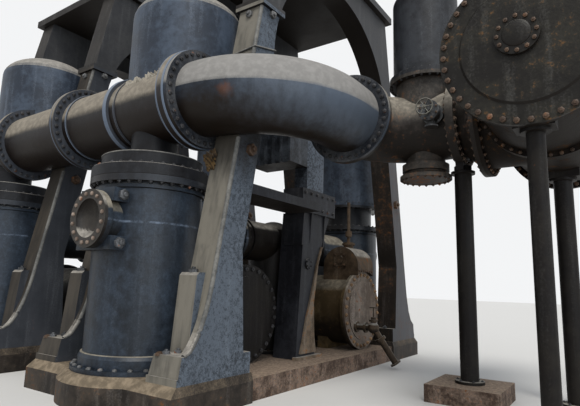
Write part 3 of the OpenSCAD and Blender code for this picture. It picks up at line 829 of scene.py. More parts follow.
def tube(name: str, path: Array, radius: float, material: Any, sides: int = 12) -> Any:
    """A round bar along a path, closed at both ends.

    Each ring lies across the path's direction there, at the path's point plus radius times
    cosine and sine of the angle along two base vectors.

    Args:
        name: the piece's name.
        path: the points of the middle line, one row each.
        radius: the bar's radius.
        material: the material.
        sides: how many points in a ring.

    Returns:
        The new object.
    """
    ways = np.gradient(path, axis=0)
    ways /= np.linalg.norm(ways, axis=1, keepdims=True)
    base = bases(ways)
    angle = np.arange(sides) * 2 * np.pi / sides
    ring = np.cos(angle)[None, :, None] * base[:, None, 0] + np.sin(angle)[None, :, None] * base[:, None, 1]
    verts = path[:, None, :] + radius * ring
    return link(name, verts.reshape(-1, 3), closed_faces(len(path), sides), material)


def stepped(start: float, end: float, radius: float, rings: Sequence[tuple[float, float, float]],
            bevel: float = 0.006) -> Array:
    """The outline of a round bar with rings, each corner cut by a small bevel.

    Between each two breaks the radius is the greatest of the bar's and of the rings' there.

    Args:
        start: where the bar starts along its axis.
        end: where it ends.
        radius: its radius.
        rings: each ring's start, end and radius.
        bevel: the width of the bevels.

    Returns:
        Rows of distance along the axis and radius.
    """
    breaks = sorted({start, end, *(low for low, _, _ in rings), *(high for _, high, _ in rings)})
    spans = list(zip(breaks[:-1], breaks[1:]))
    reach = [max([radius] + [r for low, high, r in rings if low <= (a + b) / 2 <= high]) for a, b in spans]
    rows = [(start, reach[0] - bevel), (start + bevel, reach[0])]
    for place, before, after in zip(breaks[1:-1], reach[:-1], reach[1:]):
        if after > before:
            rows += [(place, before), (place, after - bevel), (place + bevel, after)]
        else:
            rows += [(place - bevel, before), (place, before - bevel), (place, after)]
    rows += [(end - bevel, reach[-1]), (end, reach[-1] - bevel)]
    return np.array(rows)


def turned(name: str, shells: Sequence[tuple[Sequence[float], Axis, Array]], material: Any,
           sides: int = 96) -> Any:
    """Closed solids of revolution in one mesh.

    A point lies at the origin plus its distance along the axis, plus its radius times cosine
    and sine of the angle along two base vectors.

    Args:
        name: the piece's name.
        shells: for each solid its origin, its axis and its outline.
        material: the material.
        sides: how many points in a ring.

    Returns:
        The new object.
    """
    angle = np.arange(sides) * 2 * np.pi / sides
    verts: list[Array] = []
    faces: list[Faces] = []
    offset = 0
    for origin, axis, outline in shells:
        base = bases(axis.vector()[None, :])[0]
        ring = np.cos(angle)[:, None] * base[0] + np.sin(angle)[:, None] * base[1]
        points = np.array(origin) + outline[:, None, :1] * base[2] + outline[:, None, 1:] * ring[None]
        verts.append(points.reshape(-1, 3))
        faces += closed_faces(len(outline), sides, offset)
        offset += len(outline) * sides
    return link(name, np.concatenate(verts), faces, material)


def ripple(first: Array, second: Array, seed: float) -> Array:
    """Uneven lumps from 0 to 1, as a product and sum of sine waves of unlike lengths.

    Args:
        first: the first parameter, in metres.
        second: the second parameter, in metres.
        seed: a shift that makes one field unlike another.

    Returns:
        The heights.
    """
    wave = (np.sin(first * 23.1 + seed) * np.sin(second * 27.7 + 1.3 * seed)
            + 0.6 * np.sin(first * 51.7 + second * 33.0 + seed) * np.sin(second * 61.3 - first * 17.0)
            + 0.35 * np.sin(first * 97.0 + second * 71.0))
    return np.clip(0.5 + wave / 3.2, 0.0, 1.0)


def clear_of_vessels(spots: Array, axes: Array) -> tuple[Array, Array]:
    """Leaves out the fasteners that the air vessels' saddles would bury.

    Args:
        spots: the places.
        axes: the directions.

    Returns:
        The places and directions that are free.
    """
    free = np.ones(len(spots), bool)
    for number in range(2):
        away = np.hypot(spots[:, 0] - LAYOUT.unit(number), spots[:, 1] - LAYOUT.front_y - LAYOUT.vessel_back)
        free &= ((away > LAYOUT.vessel_r + LAYOUT.saddle_margin)
                 | (spots[:, 2] < LAYOUT.main_z + LAYOUT.saddle_rise))
    return spots[free], axes[free]


# In these recipes the pale film on faces that look along the row is a painted sheen.
RECIPES: tuple[Union[CastFinish, NutFinish], ...] = (
    # The main's pale rim bands are rubbed paint with a painted highlight.
    CastFinish("delivery_main_paint", (0.010, 0.009, 0.009), (0.021, 0.019, 0.020),
               dust=(0.245, 0.215, 0.172), shade=(0.010, 0.006, 0.004), dust_from=-0.08, dust_sharp=0.24,
               end_sheen=0.4, calm=0.5, clean_plates=True, rust_share=0.4, streaks=0.15, highlight_bands=HIGHLIGHT_BANDS,
               rough=0.42),
    CastFinish("elbow_paint", (0.010, 0.013, 0.019), (0.023, 0.029, 0.040), dust=(0.255, 0.244, 0.228),
               shade=(0.010, 0.006, 0.003), dust_from=-0.02, dust_sharp=0.10, end_sheen=0.7,
               sheen_from=ELBOW_CENTRE[0] + 0.03, calm=0.8, rust_share=0.4, streaks=0.1, marks=ElbowMarks(),
               rough=0.38),
    CastFinish("branch_paint", (0.004, 0.004, 0.005), (0.015, 0.016, 0.019), rust_share=0.2, streaks=0.12,
               rough=0.45),
    # chamber_paint darkens above its head joint, which is painted shade.
    CastFinish("chamber_paint", (0.005, 0.007, 0.010), (0.026, 0.037, 0.054), dust=(0.24, 0.215, 0.17),
               dust_from=0.26, dust_sharp=0.14, end_sheen=0.12, speckle=0.4, shade_above=2.97, dust_above=1.0,
               rust_share=0.1, streaks=0.18, highlight_seams=(2.43,), rough=0.36, scale=1.2, gloss=0.25),
    # frame_paint's last band of heights darkens the first leg below the elbow, a painted shadow.
    CastFinish("frame_paint", (0.016, 0.021, 0.029), (0.060, 0.072, 0.088), dust_from=0.35,
               front=(0.19, 0.172, 0.138), front_film=0.85, end_sheen=0.46, speckle=0.85,
               elbow_shadow=(2.9, 3.6, 4.2, 5.0), streaks=0.4, scale=0.9, gloss=0.3),
    # A darker copy of frame_paint, front film included, for the legs beyond the first: painted shade, as they
    # stand in shadow.
    CastFinish("shaded_frame_paint", (0.009, 0.009, 0.010), (0.026, 0.026, 0.029), dust_from=0.4,
               front=(0.060, 0.050, 0.038), front_film=0.8, end_sheen=0.2, rust_share=0.5, streaks=0.45,
               scale=0.9),
    CastFinish("head_paint", (0.010, 0.008, 0.007), (0.030, 0.027, 0.024), dust_from=0.4, end_sheen=0.2,
               calm=0.6, rust_share=0.4, streaks=0.4),
    CastFinish("inner_frame_paint", (0.012, 0.009, 0.007), (0.032, 0.023, 0.017), rust=(0.12, 0.050, 0.018),
               dust_from=0.4, end_sheen=0.45, rust_share=0.85),
    CastFinish("standard_paint", (0.008, 0.008, 0.010), (0.024, 0.025, 0.030), end_sheen=0.04, streaks=0.25,
               rough=0.5),
    CastFinish("post_paint", (0.020, 0.024, 0.032), (0.070, 0.084, 0.106), end_sheen=0.55, speckle=0.9,
               streaks=0.4),
    CastFinish("rib_paint", (0.085, 0.058, 0.036), (0.22, 0.175, 0.13), rust=(0.24, 0.10, 0.03),
               rust_share=0.9, streaks=0.5, rough=0.6),
    CastFinish("drum_paint", (0.042, 0.028, 0.013), (0.115, 0.078, 0.038), dust=(0.15, 0.13, 0.10),
               rust=(0.13, 0.065, 0.018), rust_share=0.8, streaks=0.2, rough=0.6, gloss=0.1),
    CastFinish("vessel_paint", (0.019, 0.026, 0.039), (0.052, 0.069, 0.097), dust_from=0.3, dust_sharp=0.1,
               calm=0.5, streaks=0.4, rough=0.45, gloss=0.25),
    CastFinish("port_paint", (0.018, 0.017, 0.017), (0.050, 0.046, 0.042), dust_from=0.35,
               front=(0.055, 0.047, 0.038), front_film=0.5, rust_share=0.4),
    CastFinish("small_vessel_paint", (0.011, 0.012, 0.015), (0.030, 0.033, 0.039), dust_from=0.3,
               rust_share=0.3, streaks=0.4, rough=0.42, gloss=0.25),
    CastFinish("wheel_paint", (0.10, 0.097, 0.085), (0.24, 0.235, 0.20), shade=(0.02, 0.018, 0.015),
               dust_from=0.6, rust_share=0.1, scale=6.0, gloss=0.3),
    CastFinish("valve_paint", (0.030, 0.032, 0.035), (0.125, 0.130, 0.135), dust_from=0.3, rust_share=0.3,
               rough=0.5, scale=5.0, gloss=0.25),
    CastFinish("guide_paint", (0.014, 0.016, 0.020), (0.060, 0.070, 0.085), dust_from=0.3, rust_share=0.3,
               rough=0.5, scale=5.0, gloss=0.25),
    # A darker paint for the shell under the condenser: painted shade over its rusty paint.
    CastFinish("shaded_shell_paint", (0.004, 0.003, 0.003), (0.013, 0.009, 0.006), rust=(0.085, 0.038, 0.012),
               dust_from=0.6, rust_share=0.85, streaks=0.15, rough=0.6, gloss=0.1),
    CastFinish("dark_iron", (0.005, 0.004, 0.004), (0.013, 0.011, 0.009), rust_share=0.3, streaks=0.2,
               rough=0.5, gloss=0.15),
    CastFinish("condenser_paint", (0.006, 0.005, 0.004), (0.020, 0.018, 0.013), rust=(0.12, 0.062, 0.024),
               rust_share=0.78, rough=0.45, scale=2.4),
    CastFinish("rusty_iron", (0.026, 0.016, 0.009), (0.078, 0.053, 0.032), dust_from=0.45, rust_share=0.7,
               streaks=0.3, rough=0.6),
    CastFinish("bend_paint", (0.018, 0.015, 0.013), (0.068, 0.061, 0.056), dust=(0.25, 0.225, 0.185),
               rust=(0.17, 0.070, 0.024), dust_from=-0.12, dust_sharp=0.6, rust_share=0.85, streaks=0.3,
               rough=0.5),
    CastFinish("frame_edge", (0.075, 0.075, 0.072), (0.17, 0.165, 0.15), shade=(0.05, 0.05, 0.05),
               dust_from=0.3, rust_share=0.2, rough=0.6, scale=4.0, gloss=0.3),
    CastFinish("rusty_edge", (0.05, 0.030, 0.014), (0.15, 0.090, 0.030), rust=(0.20, 0.095, 0.02),
               dust_from=0.6, rust_share=0.8, rough=0.75, scale=4.0, gloss=0.3),
    CastFinish("caked_dust", (0.13, 0.115, 0.09), (0.30, 0.27, 0.22), dust_from=0.6, rust_share=0.3,
               rough=0.95, scale=4.0, gloss=0.3),
    CastFinish("drum_cover_paint", (0.085, 0.062, 0.046), (0.20, 0.165, 0.135), dust=(0.30, 0.26, 0.21),
               dust_from=0.45, rust_share=0.8, streaks=0.9, rough=0.6),
    CastFinish("masonry", (0.050, 0.030, 0.020), (0.27, 0.20, 0.155), dust=(0.28, 0.21, 0.155),
               rust=(0.20, 0.082, 0.030), dust_from=0.7, speckle=0.4, rust_share=0.9, rough=0.85, grain=0.02,
               scale=3.4, gloss=0.3),
    CastFinish("bed_iron", (0.014, 0.011, 0.009), (0.050, 0.039, 0.030), dust=(0.20, 0.158, 0.11),
               rust=(0.14, 0.060, 0.020), dust_from=0.3, rust_share=0.7),
    NutFinish("dark_nuts", (0.010, 0.009, 0.009), (0.060, 0.060, 0.064), 0.0),
    NutFinish("bronze_nuts", (0.040, 0.024, 0.016), (0.15, 0.105, 0.075), 0.05),
    NutFinish("rusty_nuts", (0.030, 0.016, 0.009), (0.105, 0.062, 0.036), 0.25),
    NutFinish("cover_nuts", (0.10, 0.050, 0.022), (0.34, 0.22, 0.12), 0.1),
    NutFinish("port_nuts", (0.12, 0.085, 0.065), (0.33, 0.255, 0.205), 0.0),
    NutFinish("lug_nuts", (0.020, 0.021, 0.022), (0.14, 0.145, 0.155), 0.0),
    NutFinish("pale_nuts", (0.050, 0.049, 0.048), (0.20, 0.20, 0.20), 0.05),
)


@dataclass
class Finishes:
    """Every material of the engine, made once."""

    made: dict[str, Any] = field(default_factory=dict)

    def __post_init__(self) -> None:
        """Builds the materials."""
        for recipe in RECIPES:
            self.made[recipe.name] = recipe.build()

    def __getitem__(self, name: str) -> Any:
        """A material by name."""
        return self.made[name]

    def dress(self, name: str, *nodes: str) -> None:
        """Puts a material on CAD nodes.

        Args:
            name: the material's name.
            nodes: the nodes' names.
        """
        for node in nodes:
            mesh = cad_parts[node].data
            mesh.materials.clear()
            mesh.materials.append(self.made[name])


@dataclass
class Bolted:
    """What every sub-assembly shares: its finishes, and bolted joints."""

    finishes: Finishes

    def nuts(self, name: str, places: Sequence[Sequence[float]], axis: Axis, size: float, material: str,
             head: Head = Head.NUT) -> None:
        """Nuts at given places, which all point the same way.

        Args:
            name: the piece's name.
            places: where each one stands.
            axis: the way they point.
            size: half a nut's width over the flats.
            material: the nuts' material.
            head: the form of the nuts.
        """
        spots = np.array(places, float)
        axes = np.repeat(axis.vector()[None, :], len(spots), 0)
        fasteners(name, spots, axes, size, self.finishes[material], head)

    def joint(self, name: str, centre: Sequence[float], axis: Axis, radius: float,
              faces: tuple[float, float], count: int, size: float, material: str) -> None:
        """Nuts on both faces of a bolted joint.

        Args:
            name: the joint's name.
            centre: a point on the joint's axis.
            axis: its normal.
            radius: the bolt circle's radius.
            faces: the distance from that point to the face along the normal, and to the one against it.
            count: how many bolts.
            size: half a nut's width over the flats.
            material: the nuts' material.
        """
        way = axis.vector()
        near, near_axes = circle_spots(np.array(centre) + way * faces[0], way, radius, count)
        far = near - way * (faces[0] + faces[1])
        spots, axes = clear_of_vessels(np.concatenate([near, far]), np.concatenate([near_axes, -near_axes]))
        fasteners(name, spots, axes, size, self.finishes[material])

    def ring(self, name: str, centre: Sequence[float], axis: Axis, radius: float, count: int, size: float,
             material: str, head: Head = Head.NUT, start: float = 0.5) -> None:
        """Nuts on one face.

        Args:
            name: the piece's name.
            centre: the middle of the face.
            axis: the way the nuts point.
            radius: the bolt circle's radius.
            count: how many bolts.
            size: half a nut's width over the flats.
            material: the nuts' material.
            head: the form of the nuts.
            start: the first angle, as a share of the spacing.
        """
        spots, axes = circle_spots(centre, axis.vector(), radius, count, start)
        fasteners(name, spots, axes, size, self.finishes[material], head)


@dataclass
class DeliveryMain(Bolted):
    """The main along the front, its elbow, the return bend and the reducer."""

    nut: float = 0.03
    count: int = 34
    collar: float = 0.15
    wide_rim: float = 0.055
    lower_bolt_r: float = 0.375
    small_bolt_r: float = 0.588
    bonnet_bolt_r: float = 0.132
    bonnet_t: float = 0.08
    crust_reach: tuple[float, float] = (-0.42, 0.62)
    crust_lean: float = 0.45
    crust_t: float = 0.095
    crust_sunk: float = 0.012
    collar_r: float = 0.76
    collar_top: float = 3.45
    head_ring_r: float = 0.89
    branch_r: float = 0.36
    rib_r: float = 0.585
    rib_from: float = 0.19
    rib_t: float = 0.025
    tee_rings: tuple[tuple[tuple[float, float, float], ...], ...] = (
        ((-0.565, -0.485, 0.62), (-0.355, -0.33, 0.585), (0.72, 0.82, 0.66), (0.82, 0.97, 0.739)),
        ((0.439, 0.464, 0.585), (0.569, 0.629, 0.725)))

    def dress(self) -> None:
        """Paints the pieces of the main."""
        self.finishes.dress("delivery_main_paint", "main_pipe", "main_end_cover")
        self.finishes.dress("elbow_paint", "main_elbow")
        self.finishes.dress("bend_paint", "return_bend", "reducer", "lower_branch")

    def tee(self, number: int, end: float, rings: Sequence[tuple[float, float, float]]) -> None:
        """A tee of the main with its ringed barrel and the branch's collar.

        Args:
            number: 0 for the tee at the elbow, 1 for the next.
            end: its right end, from the unit's centre.
            rings: its rings, from the unit's centre.
        """
        lay = LAYOUT
        x, top, low = lay.unit(number), lay.chamber_top, -lay.tee_left
        flange = (low, low + lay.flange_t, lay.flange_r)
        rib = (low + self.rib_from, low + self.rib_from + self.rib_t, self.rib_r)
        barrel = stepped(low, end, lay.pipe_r, [flange, rib, *rings])
        branch = stepped(top, lay.main_z - 0.2, self.branch_r,
                         [(top, top + lay.ring_t, self.head_ring_r),
                          (top + lay.ring_t, self.collar_top, self.collar_r)])
        bead = stepped(self.collar_top - 0.012, self.collar_top + 0.010, self.collar_r + 0.008, [])
        upright = (x, lay.front_y, 0.0)
        made = turned(f"tee_{number + 1}", [((x, lay.front_y, lay.main_z), Axis.X, barrel)],
                      self.finishes["delivery_main_paint"])
        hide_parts(f"main_tee_{number + 1}")
        turned(f"tee_branch_{number + 1}", [(upright, Axis.Z, branch)], self.finishes["branch_paint"])
        turned(f"branch_bead_{number + 1}", [(upright, Axis.Z, bead)], self.finishes["frame_edge"])

    def crust(self) -> None:
        """Caked dust on the crown of the first tee.

        A tube round the main: its radius is a little less than the main's, and more than it in
        lumps near the crown, so that only the lumps show.
        """
        lay = LAYOUT
        along = np.linspace(lay.unit(0) + self.crust_reach[0], lay.unit(0) + self.crust_reach[1], 170)
        angle = np.linspace(0, 2 * np.pi, 200, endpoint=False)
        x, a = np.meshgrid(along, angle, indexing="ij")
        ends = np.clip(np.minimum(x - along[0], along[-1] - x) / 0.12, 0.0, 1.0)
        crown = np.clip(1.4 - np.abs(a - np.pi / 2 + self.crust_lean) / 0.55, 0.0, 1.0)
        height = ripple(x, a * lay.pipe_r, 0.7) * crown * ends
        radius = lay.pipe_r - self.crust_sunk + self.crust_t * np.clip(height - 0.14, 0.0, 1.0)
        verts = np.stack([x, lay.front_y - np.cos(a) * radius, lay.main_z + np.sin(a) * radius], -1)
        # The angle runs against the row's axis here, so the faces are turned round
        faces = [part[:, ::-1] for part in closed_faces(len(along), len(angle))]
        link("caked_dust", verts.reshape(-1, 3), faces, self.finishes["caked_dust"], smooth=60.0)

    def build(self) -> None:
        """Adds the tees, the caked dust and the nuts of every joint of the main."""
        lay = LAYOUT
        t = lay.flange_t
        for number, x in enumerate(lay.joints_x):
            self.joint(f"main_joint_nuts_{number + 1}", (x, lay.front_y, lay.main_z), Axis.X, lay.bolt_r,
                       (t, self.collar if number == 0 else t), self.count, self.nut, "dark_nuts")
        low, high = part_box("main_end_cover")
        self.joint("end_cover_nuts", (high.x, lay.front_y, lay.main_z), Axis.X, lay.bolt_r,
                   (t, high.x - low.x), self.count, self.nut, "dark_nuts")
        low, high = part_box("main_elbow")
        self.joint("elbow_end_nuts", (high.x - lay.flange_r, high.y, lay.main_z), Axis.Y, lay.bolt_r, (t, t),
                   self.count, self.nut, "dark_nuts")
        low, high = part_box("reducer")
        _, y, _ = middle("reducer")
        self.joint("reducer_joint_nuts", (low.x, y, lay.main_z), Axis.X, lay.bolt_r, (t, t), self.count,
                   self.nut, "bronze_nuts")
        self.joint("wide_joint_nuts", (high.x, y, lay.main_z), Axis.X, (high.z - low.z) / 2 - self.wide_rim,
                   (t, t), 40, 0.026, "rusty_nuts")
        low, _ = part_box("lower_branch")
        x, y, _ = middle("lower_branch")
        self.joint("lower_branch_nuts", (x, y, low.z), Axis.Z, self.lower_bolt_r, (t, 0.0), 20, 0.022,
                   "rusty_nuts")
        low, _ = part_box("small_air_vessel")
        x, y, _ = middle("small_air_vessel")
        self.joint("small_vessel_nuts", (x, y, low.z), Axis.Z, self.small_bolt_r, (t, t), 30, 0.021,
                   "dark_nuts")
        low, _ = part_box("gate_valve")
        x, _, _ = middle("gate_valve")
        self.ring("valve_bonnet_nuts", (x, low.y + self.bonnet_t, lay.main_z), Axis.MINUS_Y,
                  self.bonnet_bolt_r, 8, 0.017, "bronze_nuts")
        self.crust()
        for number, end in enumerate((lay.elbow_joint, lay.tee2_right)):
            self.tee(number, end, self.tee_rings[number])


@dataclass
class PumpChambers(Bolted):
    """The four pump chambers with their ports and suction pipes, and the air vessels above."""

    head_under: float = 0.095
    neck_rise: float = 0.52
    neck_bolt_r: float = 0.862
    neck_t: float = 0.06
    base_z: float = 0.466
    base_bolt_r: float = 0.885
    port_cover_t: float = 0.045
    port_bolt_r: float = 0.34
    lug: tuple[float, float, float] = (0.385, 0.79, 0.33)
    suction_rim: float = 0.045
    suction_foot_z: float = 0.367
    suction_foot_r: float = 0.5

    def dress(self) -> None:
        """Paints chambers, covers, vessels and suction pipes."""
        for node in (f"{row}{{}}_{number}" for row in ("", "rear_") for number in (1, 2)):
            self.finishes.dress("chamber_paint", node.format("pump_chamber"))
            self.finishes.dress("port_paint", node.format("port_cover"))
            self.finishes.dress("vessel_paint", node.format("air_vessel"))
        self.finishes.dress("small_vessel_paint", "small_air_vessel")
        self.finishes.dress("dark_iron", "suction_pipe_1", "suction_pipe_2")

    def chamber(self, tag: str, x: float, side: float) -> None:
        """Adds the nuts of one chamber.

        Args:
            tag: the chamber's name.
            x: its place along the row.
            side: 1 for the front row, -1 for the rear one.
        """
        lay = LAYOUT
        y = lay.front_y * side
        head_top = lay.ring_t if side > 0 else 0.0
        self.joint(f"chamber_head_nuts_{tag}", (x, y, lay.chamber_top), Axis.Z, lay.chamber_bolt_r,
                   (head_top, self.head_under), 36, 0.027, "dark_nuts")
        if side < 0:
            self.joint(f"vessel_neck_nuts_{tag}", (x, y, lay.chamber_top + self.neck_rise), Axis.Z,
                       self.neck_bolt_r, (self.neck_t, self.neck_t), 36, 0.02, "dark_nuts")
        self.ring(f"chamber_base_nuts_{tag}", (x, y, self.base_z), Axis.Z, self.base_bolt_r, 28, 0.03,
                  "pale_nuts", Head.DOME)
        self.ring(f"port_nuts_{tag}", (x, y - side * (lay.port_reach + self.port_cover_t), lay.port_z),
                  Axis.MINUS_Y if side > 0 else Axis.Y, self.port_bolt_r, 16, 0.026, "port_nuts", Head.DOME)
        along, out, rise = self.lug
        lugs = [(x + sx * along, y - side * out, lay.port_z + sz * rise) for sx in (1, -1) for sz in (1, -1)]
        ways = [(sx, 0.0, 0.0) for sx in (1, -1) for _ in (1, -1)]
        fasteners(f"lug_nuts_{tag}", np.array(lugs), np.array(ways, float), 0.068, self.finishes["lug_nuts"])
        joint_y = side * (lay.suction_joint - lay.half_span)
        self.joint(f"suction_joint_nuts_{tag}", (x, joint_y, lay.port_z), Axis.Y,
                   lay.suction_r + self.suction_rim, (lay.flange_t, lay.flange_t), 20, 0.023, "dark_nuts")

    def build(self) -> None:
        """Adds the nuts of every chamber and suction pipe."""
        for number in range(2):
            x = LAYOUT.unit(number)
            for side in (1.0, -1.0):
                self.chamber(f"{'front' if side > 0 else 'rear'}_{number + 1}", x, side)
            self.ring(f"suction_foot_nuts_{number + 1}", (x, 0.0, self.suction_foot_z), Axis.Z,
                      self.suction_foot_r, 16, 0.026, "rusty_nuts")


@dataclass
class Frames(Bolted):
    """The A-frame legs and heads on their bed plates and masonry."""

    outer: float = 0.275
    bead_r: float = 0.032
    bead_ends: tuple[float, ...] = (3.70, 4.92, 5.98)
    flare: float = 0.27
    flare_top: float = 1.65
    moulding: tuple[tuple[float, float, float], ...] = (
        (-0.185, 0.462, 5.17), (0.282, 0.476, 5.22), (0.282, 1.0, 5.36))
    moulding_r: float = 0.016
    studs: tuple[tuple[float, float, float, float], ...] = (
        (-0.06, -0.20, 1.76, 0.058), (-0.09, -0.553, 0.74, 0.044), (-0.05, -0.391, 0.74, 0.044),
        (0.05, 0.585, 0.69, 0.046), (-0.15, 0.585, 0.69, 0.046))
    cap: tuple[float, float, float] = (-0.155, -0.60, 0.72)
    side_nuts: tuple[tuple[float, float, float, str], ...] = (
        (0.467, 3.568, 0.082, "rusty_nuts"), (0.875, 5.93, 0.06, "pale_nuts"))
    front_nut: tuple[float, float] = (0.04, 5.88)
    block_z: tuple[float, float] = (2.99, 3.44)
    block_back: float = 0.40
    block_front: float = 0.05
    rib_z: float = 2.37
    rib_y: tuple[float, ...] = (-0.5185, -0.244, 0.244)
    rib_half: float = 0.02
    hand_hole: tuple[float, float] = (-0.31, 2.02)
    hand_hole_r: float = 0.105
    hand_hole_t: float = 0.03
    standard_edge: tuple[tuple[float, float], ...] = (
        (0.17, 2.37), (0.02, 2.05), (-0.05, 1.689), (-0.127, 1.312), (-0.115, 0.998), (-0.093, 0.684),
        (-0.03, 0.401))
    strip_edge: tuple[tuple[float, float], ...] = (
        (0.14, 2.37), (-0.03, 2.003), (-0.13, 1.689), (-0.26, 1.312), (-0.38, 0.998), (-0.46, 0.684),
        (-0.56, 0.401))
    packing_size: tuple[float, float, float] = (0.12, 0.06, 0.15)

    def dress(self) -> None:
        """Paints the frames and what they stand on."""
        for number in range(1, 5):
            # The legs beyond the first take the darker copy of the frame paint, which is painted shade.
            self.finishes.dress("frame_paint" if number == 1 else "shaded_frame_paint", f"front_leg_{number}")
            self.finishes.dress("inner_frame_paint", f"rear_leg_{number}")
        self.finishes.dress("head_paint", "frame_head_1", "frame_head_2")
        self.finishes.dress("standard_paint", "cross_ledge")
        self.finishes.dress("guide_paint", "guide_box")
        self.finishes.dress("bed_iron", "bed_plate_front_1", "bed_plate_front_2", "bed_plate_rear_1",
                            "bed_plate_rear_2")
        self.finishes.dress("masonry", "masonry_plinth", "column_block")

    def bead(self, tag: str, x: float, side: float, low: float, high: float) -> None:
        """The rounded bead along a leg's leading edge.

        Its path follows the lean above the flare, and below it moves forward by the flare times
        one less the cosine of an angle whose sine is the share of the way down.

        Args:
            tag: the leg's name.
            x: the leg's place along the row.
            side: 1 for the front row, -1 for the rear one.
            low: the bead's lower end.
            high: its upper end.
        """
        z = np.linspace(low, high, 60)
        share = np.clip((self.flare_top - z) / (self.flare_top - LAYOUT.foot_top), 0.0, 1.0)
        y = LAYOUT.leg_front(z) - self.flare * (1 - np.cos(np.arcsin(share)))
        path = np.stack([np.full_like(z, x + self.outer - self.bead_r * 0.8), side * (y + 0.012), z], -1)
        tube(f"leg_bead_{tag}", path, self.bead_r, self.finishes["frame_edge"])

    def leg(self, tag: str, x: float, side: float) -> None:
        """Adds a leg's bead, moulding and nuts.

        Args:
            tag: the leg's name.
            x: its place along the row.
            side: 1 for the front row, -1 for the rear one.
        """
        lay = LAYOUT
        gap_low, gap_high, top = self.bead_ends
        if side > 0:
            self.bead(f"low_{tag}", x, side, lay.foot_top, gap_low)
            self.bead(f"high_{tag}", x, side, gap_high, top)
        else:
            self.bead(tag, x, side, lay.foot_top, top)
        ends = np.array(self.moulding) + np.array([x, lay.front_y, 0.0])
        steps = np.linspace(0, 2, 25)
        path = np.stack([np.interp(steps, (0, 1, 2), ends[:, k]) for k in range(3)], -1)
        tube(f"leg_moulding_{tag}", path * np.array([1.0, side, 1.0]), self.moulding_r,
             self.finishes["frame_edge"])
        for number, (along, out, z, size) in enumerate(self.studs):
            self.nuts(f"leg_nut_{number + 1}_{tag}", [(x + along, side * (lay.front_y + out), z)], Axis.Z,
                      size, "lug_nuts")
        along, out, z = self.cap
        self.nuts(f"leg_cap_{tag}", [(x + along, side * (lay.front_y + out), z)], Axis.Z, 0.05, "rusty_nuts",
                  Head.DOME)
        for number, (out, z, size, finish) in enumerate(self.side_nuts):
            self.nuts(f"leg_side_nut_{number + 1}_{tag}", [(x + self.outer, side * (lay.front_y + out), z)],
                      Axis.X, size, finish)
        along, z = self.front_nut
        edge = float(lay.leg_front(np.array(z))) - 0.004
        self.nuts(f"leg_front_nut_{tag}", [(x + along, side * edge, z)],
                  Axis.MINUS_Y if side > 0 else Axis.Y, 0.055, "pale_nuts")

    def build(self) -> None:
        """Adds the small parts of every leg, the standard and the packing."""
        for number, x in enumerate(LAYOUT.frames()):
            self.leg(f"front_{number + 1}", float(x), 1.0)
            self.leg(f"rear_{number + 1}", float(x), -1.0)
        low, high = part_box("centre_column")
        face = high.x - self.block_front
        self.standard(low.x, face)
        self.ring("hand_hole_nuts", (face + self.hand_hole_t, *self.hand_hole), Axis.X, 0.078, 6, 0.015,
                  "dark_nuts")
        rows = [(high.x, y, z) for z in (3.07, 3.36) for y in np.linspace(-0.52, 0.52, 6)]
        self.nuts("standard_head_nuts", rows, Axis.X, 0.028, "dark_nuts")
        self.packing()

    def standard(self, back: float, face: float) -> None:
        """The standard between the drums, on the one foot that shows, with a pale rib down its edge.

        Args:
            back: X of its back.
            face: X of its face.
        """
        low, high = self.block_z
        block_back, block_front = face - self.block_back, face + self.block_front
        body = [(-0.66, 0.307), (-0.46, low), (0.46, low), *self.standard_edge, (-0.02, 0.307)]
        rib = [(block_back, low), (block_front, low), (face + 0.035, 2.93), (face, self.rib_z),
               (block_back, self.rib_z)]
        turns = np.linspace(0, 2 * np.pi, 32, endpoint=False)
        cover = np.array(self.hand_hole) + self.hand_hole_r * np.stack([np.cos(turns), np.sin(turns)], -1)
        made = extruded("standard", [
            (body, Axis.X, back, face),
            (rectangle((-0.61, low), (0.61, high)), Axis.X, block_back, block_front),
            *[(rib, Axis.Y, y - self.rib_half, y + self.rib_half) for y in self.rib_y],
            (cover, Axis.X, face - 0.01, face + self.hand_hole_t)], self.finishes["standard_paint"])
        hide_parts("centre_column")
        post = rectangle((-0.31, 3.43), (0.31, 4.7))
        extruded("standard_post", [(post, Axis.X, face - 0.35, face - 0.06)], self.finishes["post_paint"])
        strip = [(y + 0.002, z) for y, z in self.standard_edge] + list(self.strip_edge[::-1])
        foot = rectangle((-0.72, 0.30), (0.10, 0.36))
        extruded("standard_rib", [(strip, Axis.X, face - 0.02, face + 0.035),
                                  (foot, Axis.X, face - 0.03, face + 0.09)], self.finishes["rib_paint"])

    def packing(self) -> None:
        """Crumpled packing that hangs out between the first leg and the elbow.

        A closed shell on two angles: an ellipsoid whose radius is scaled by lumps.
        """
        centre = np.array([LAYOUT.frames()[0] - 0.185, LAYOUT.front_y + 0.13, 3.40])
        rise = np.linspace(-np.pi / 2 + 0.05, np.pi / 2 - 0.05, 40)
        angle = np.linspace(0, 2 * np.pi, 60, endpoint=False)
        v, u = np.meshgrid(rise, angle, indexing="ij")
        scale = 0.35 + ripple(np.sin(u) * 0.11, np.cos(u) * 0.09 + v * 0.13, 2.0)
        ball = np.stack([np.cos(v) * np.cos(u), np.cos(v) * np.sin(u), np.sin(v)], -1)
        verts = centre + ball * scale[..., None] * np.array(self.packing_size)
        link("packing", verts.reshape(-1, 3), closed_faces(len(rise), len(angle)),
             self.finishes["rusty_edge"], smooth=20.0)


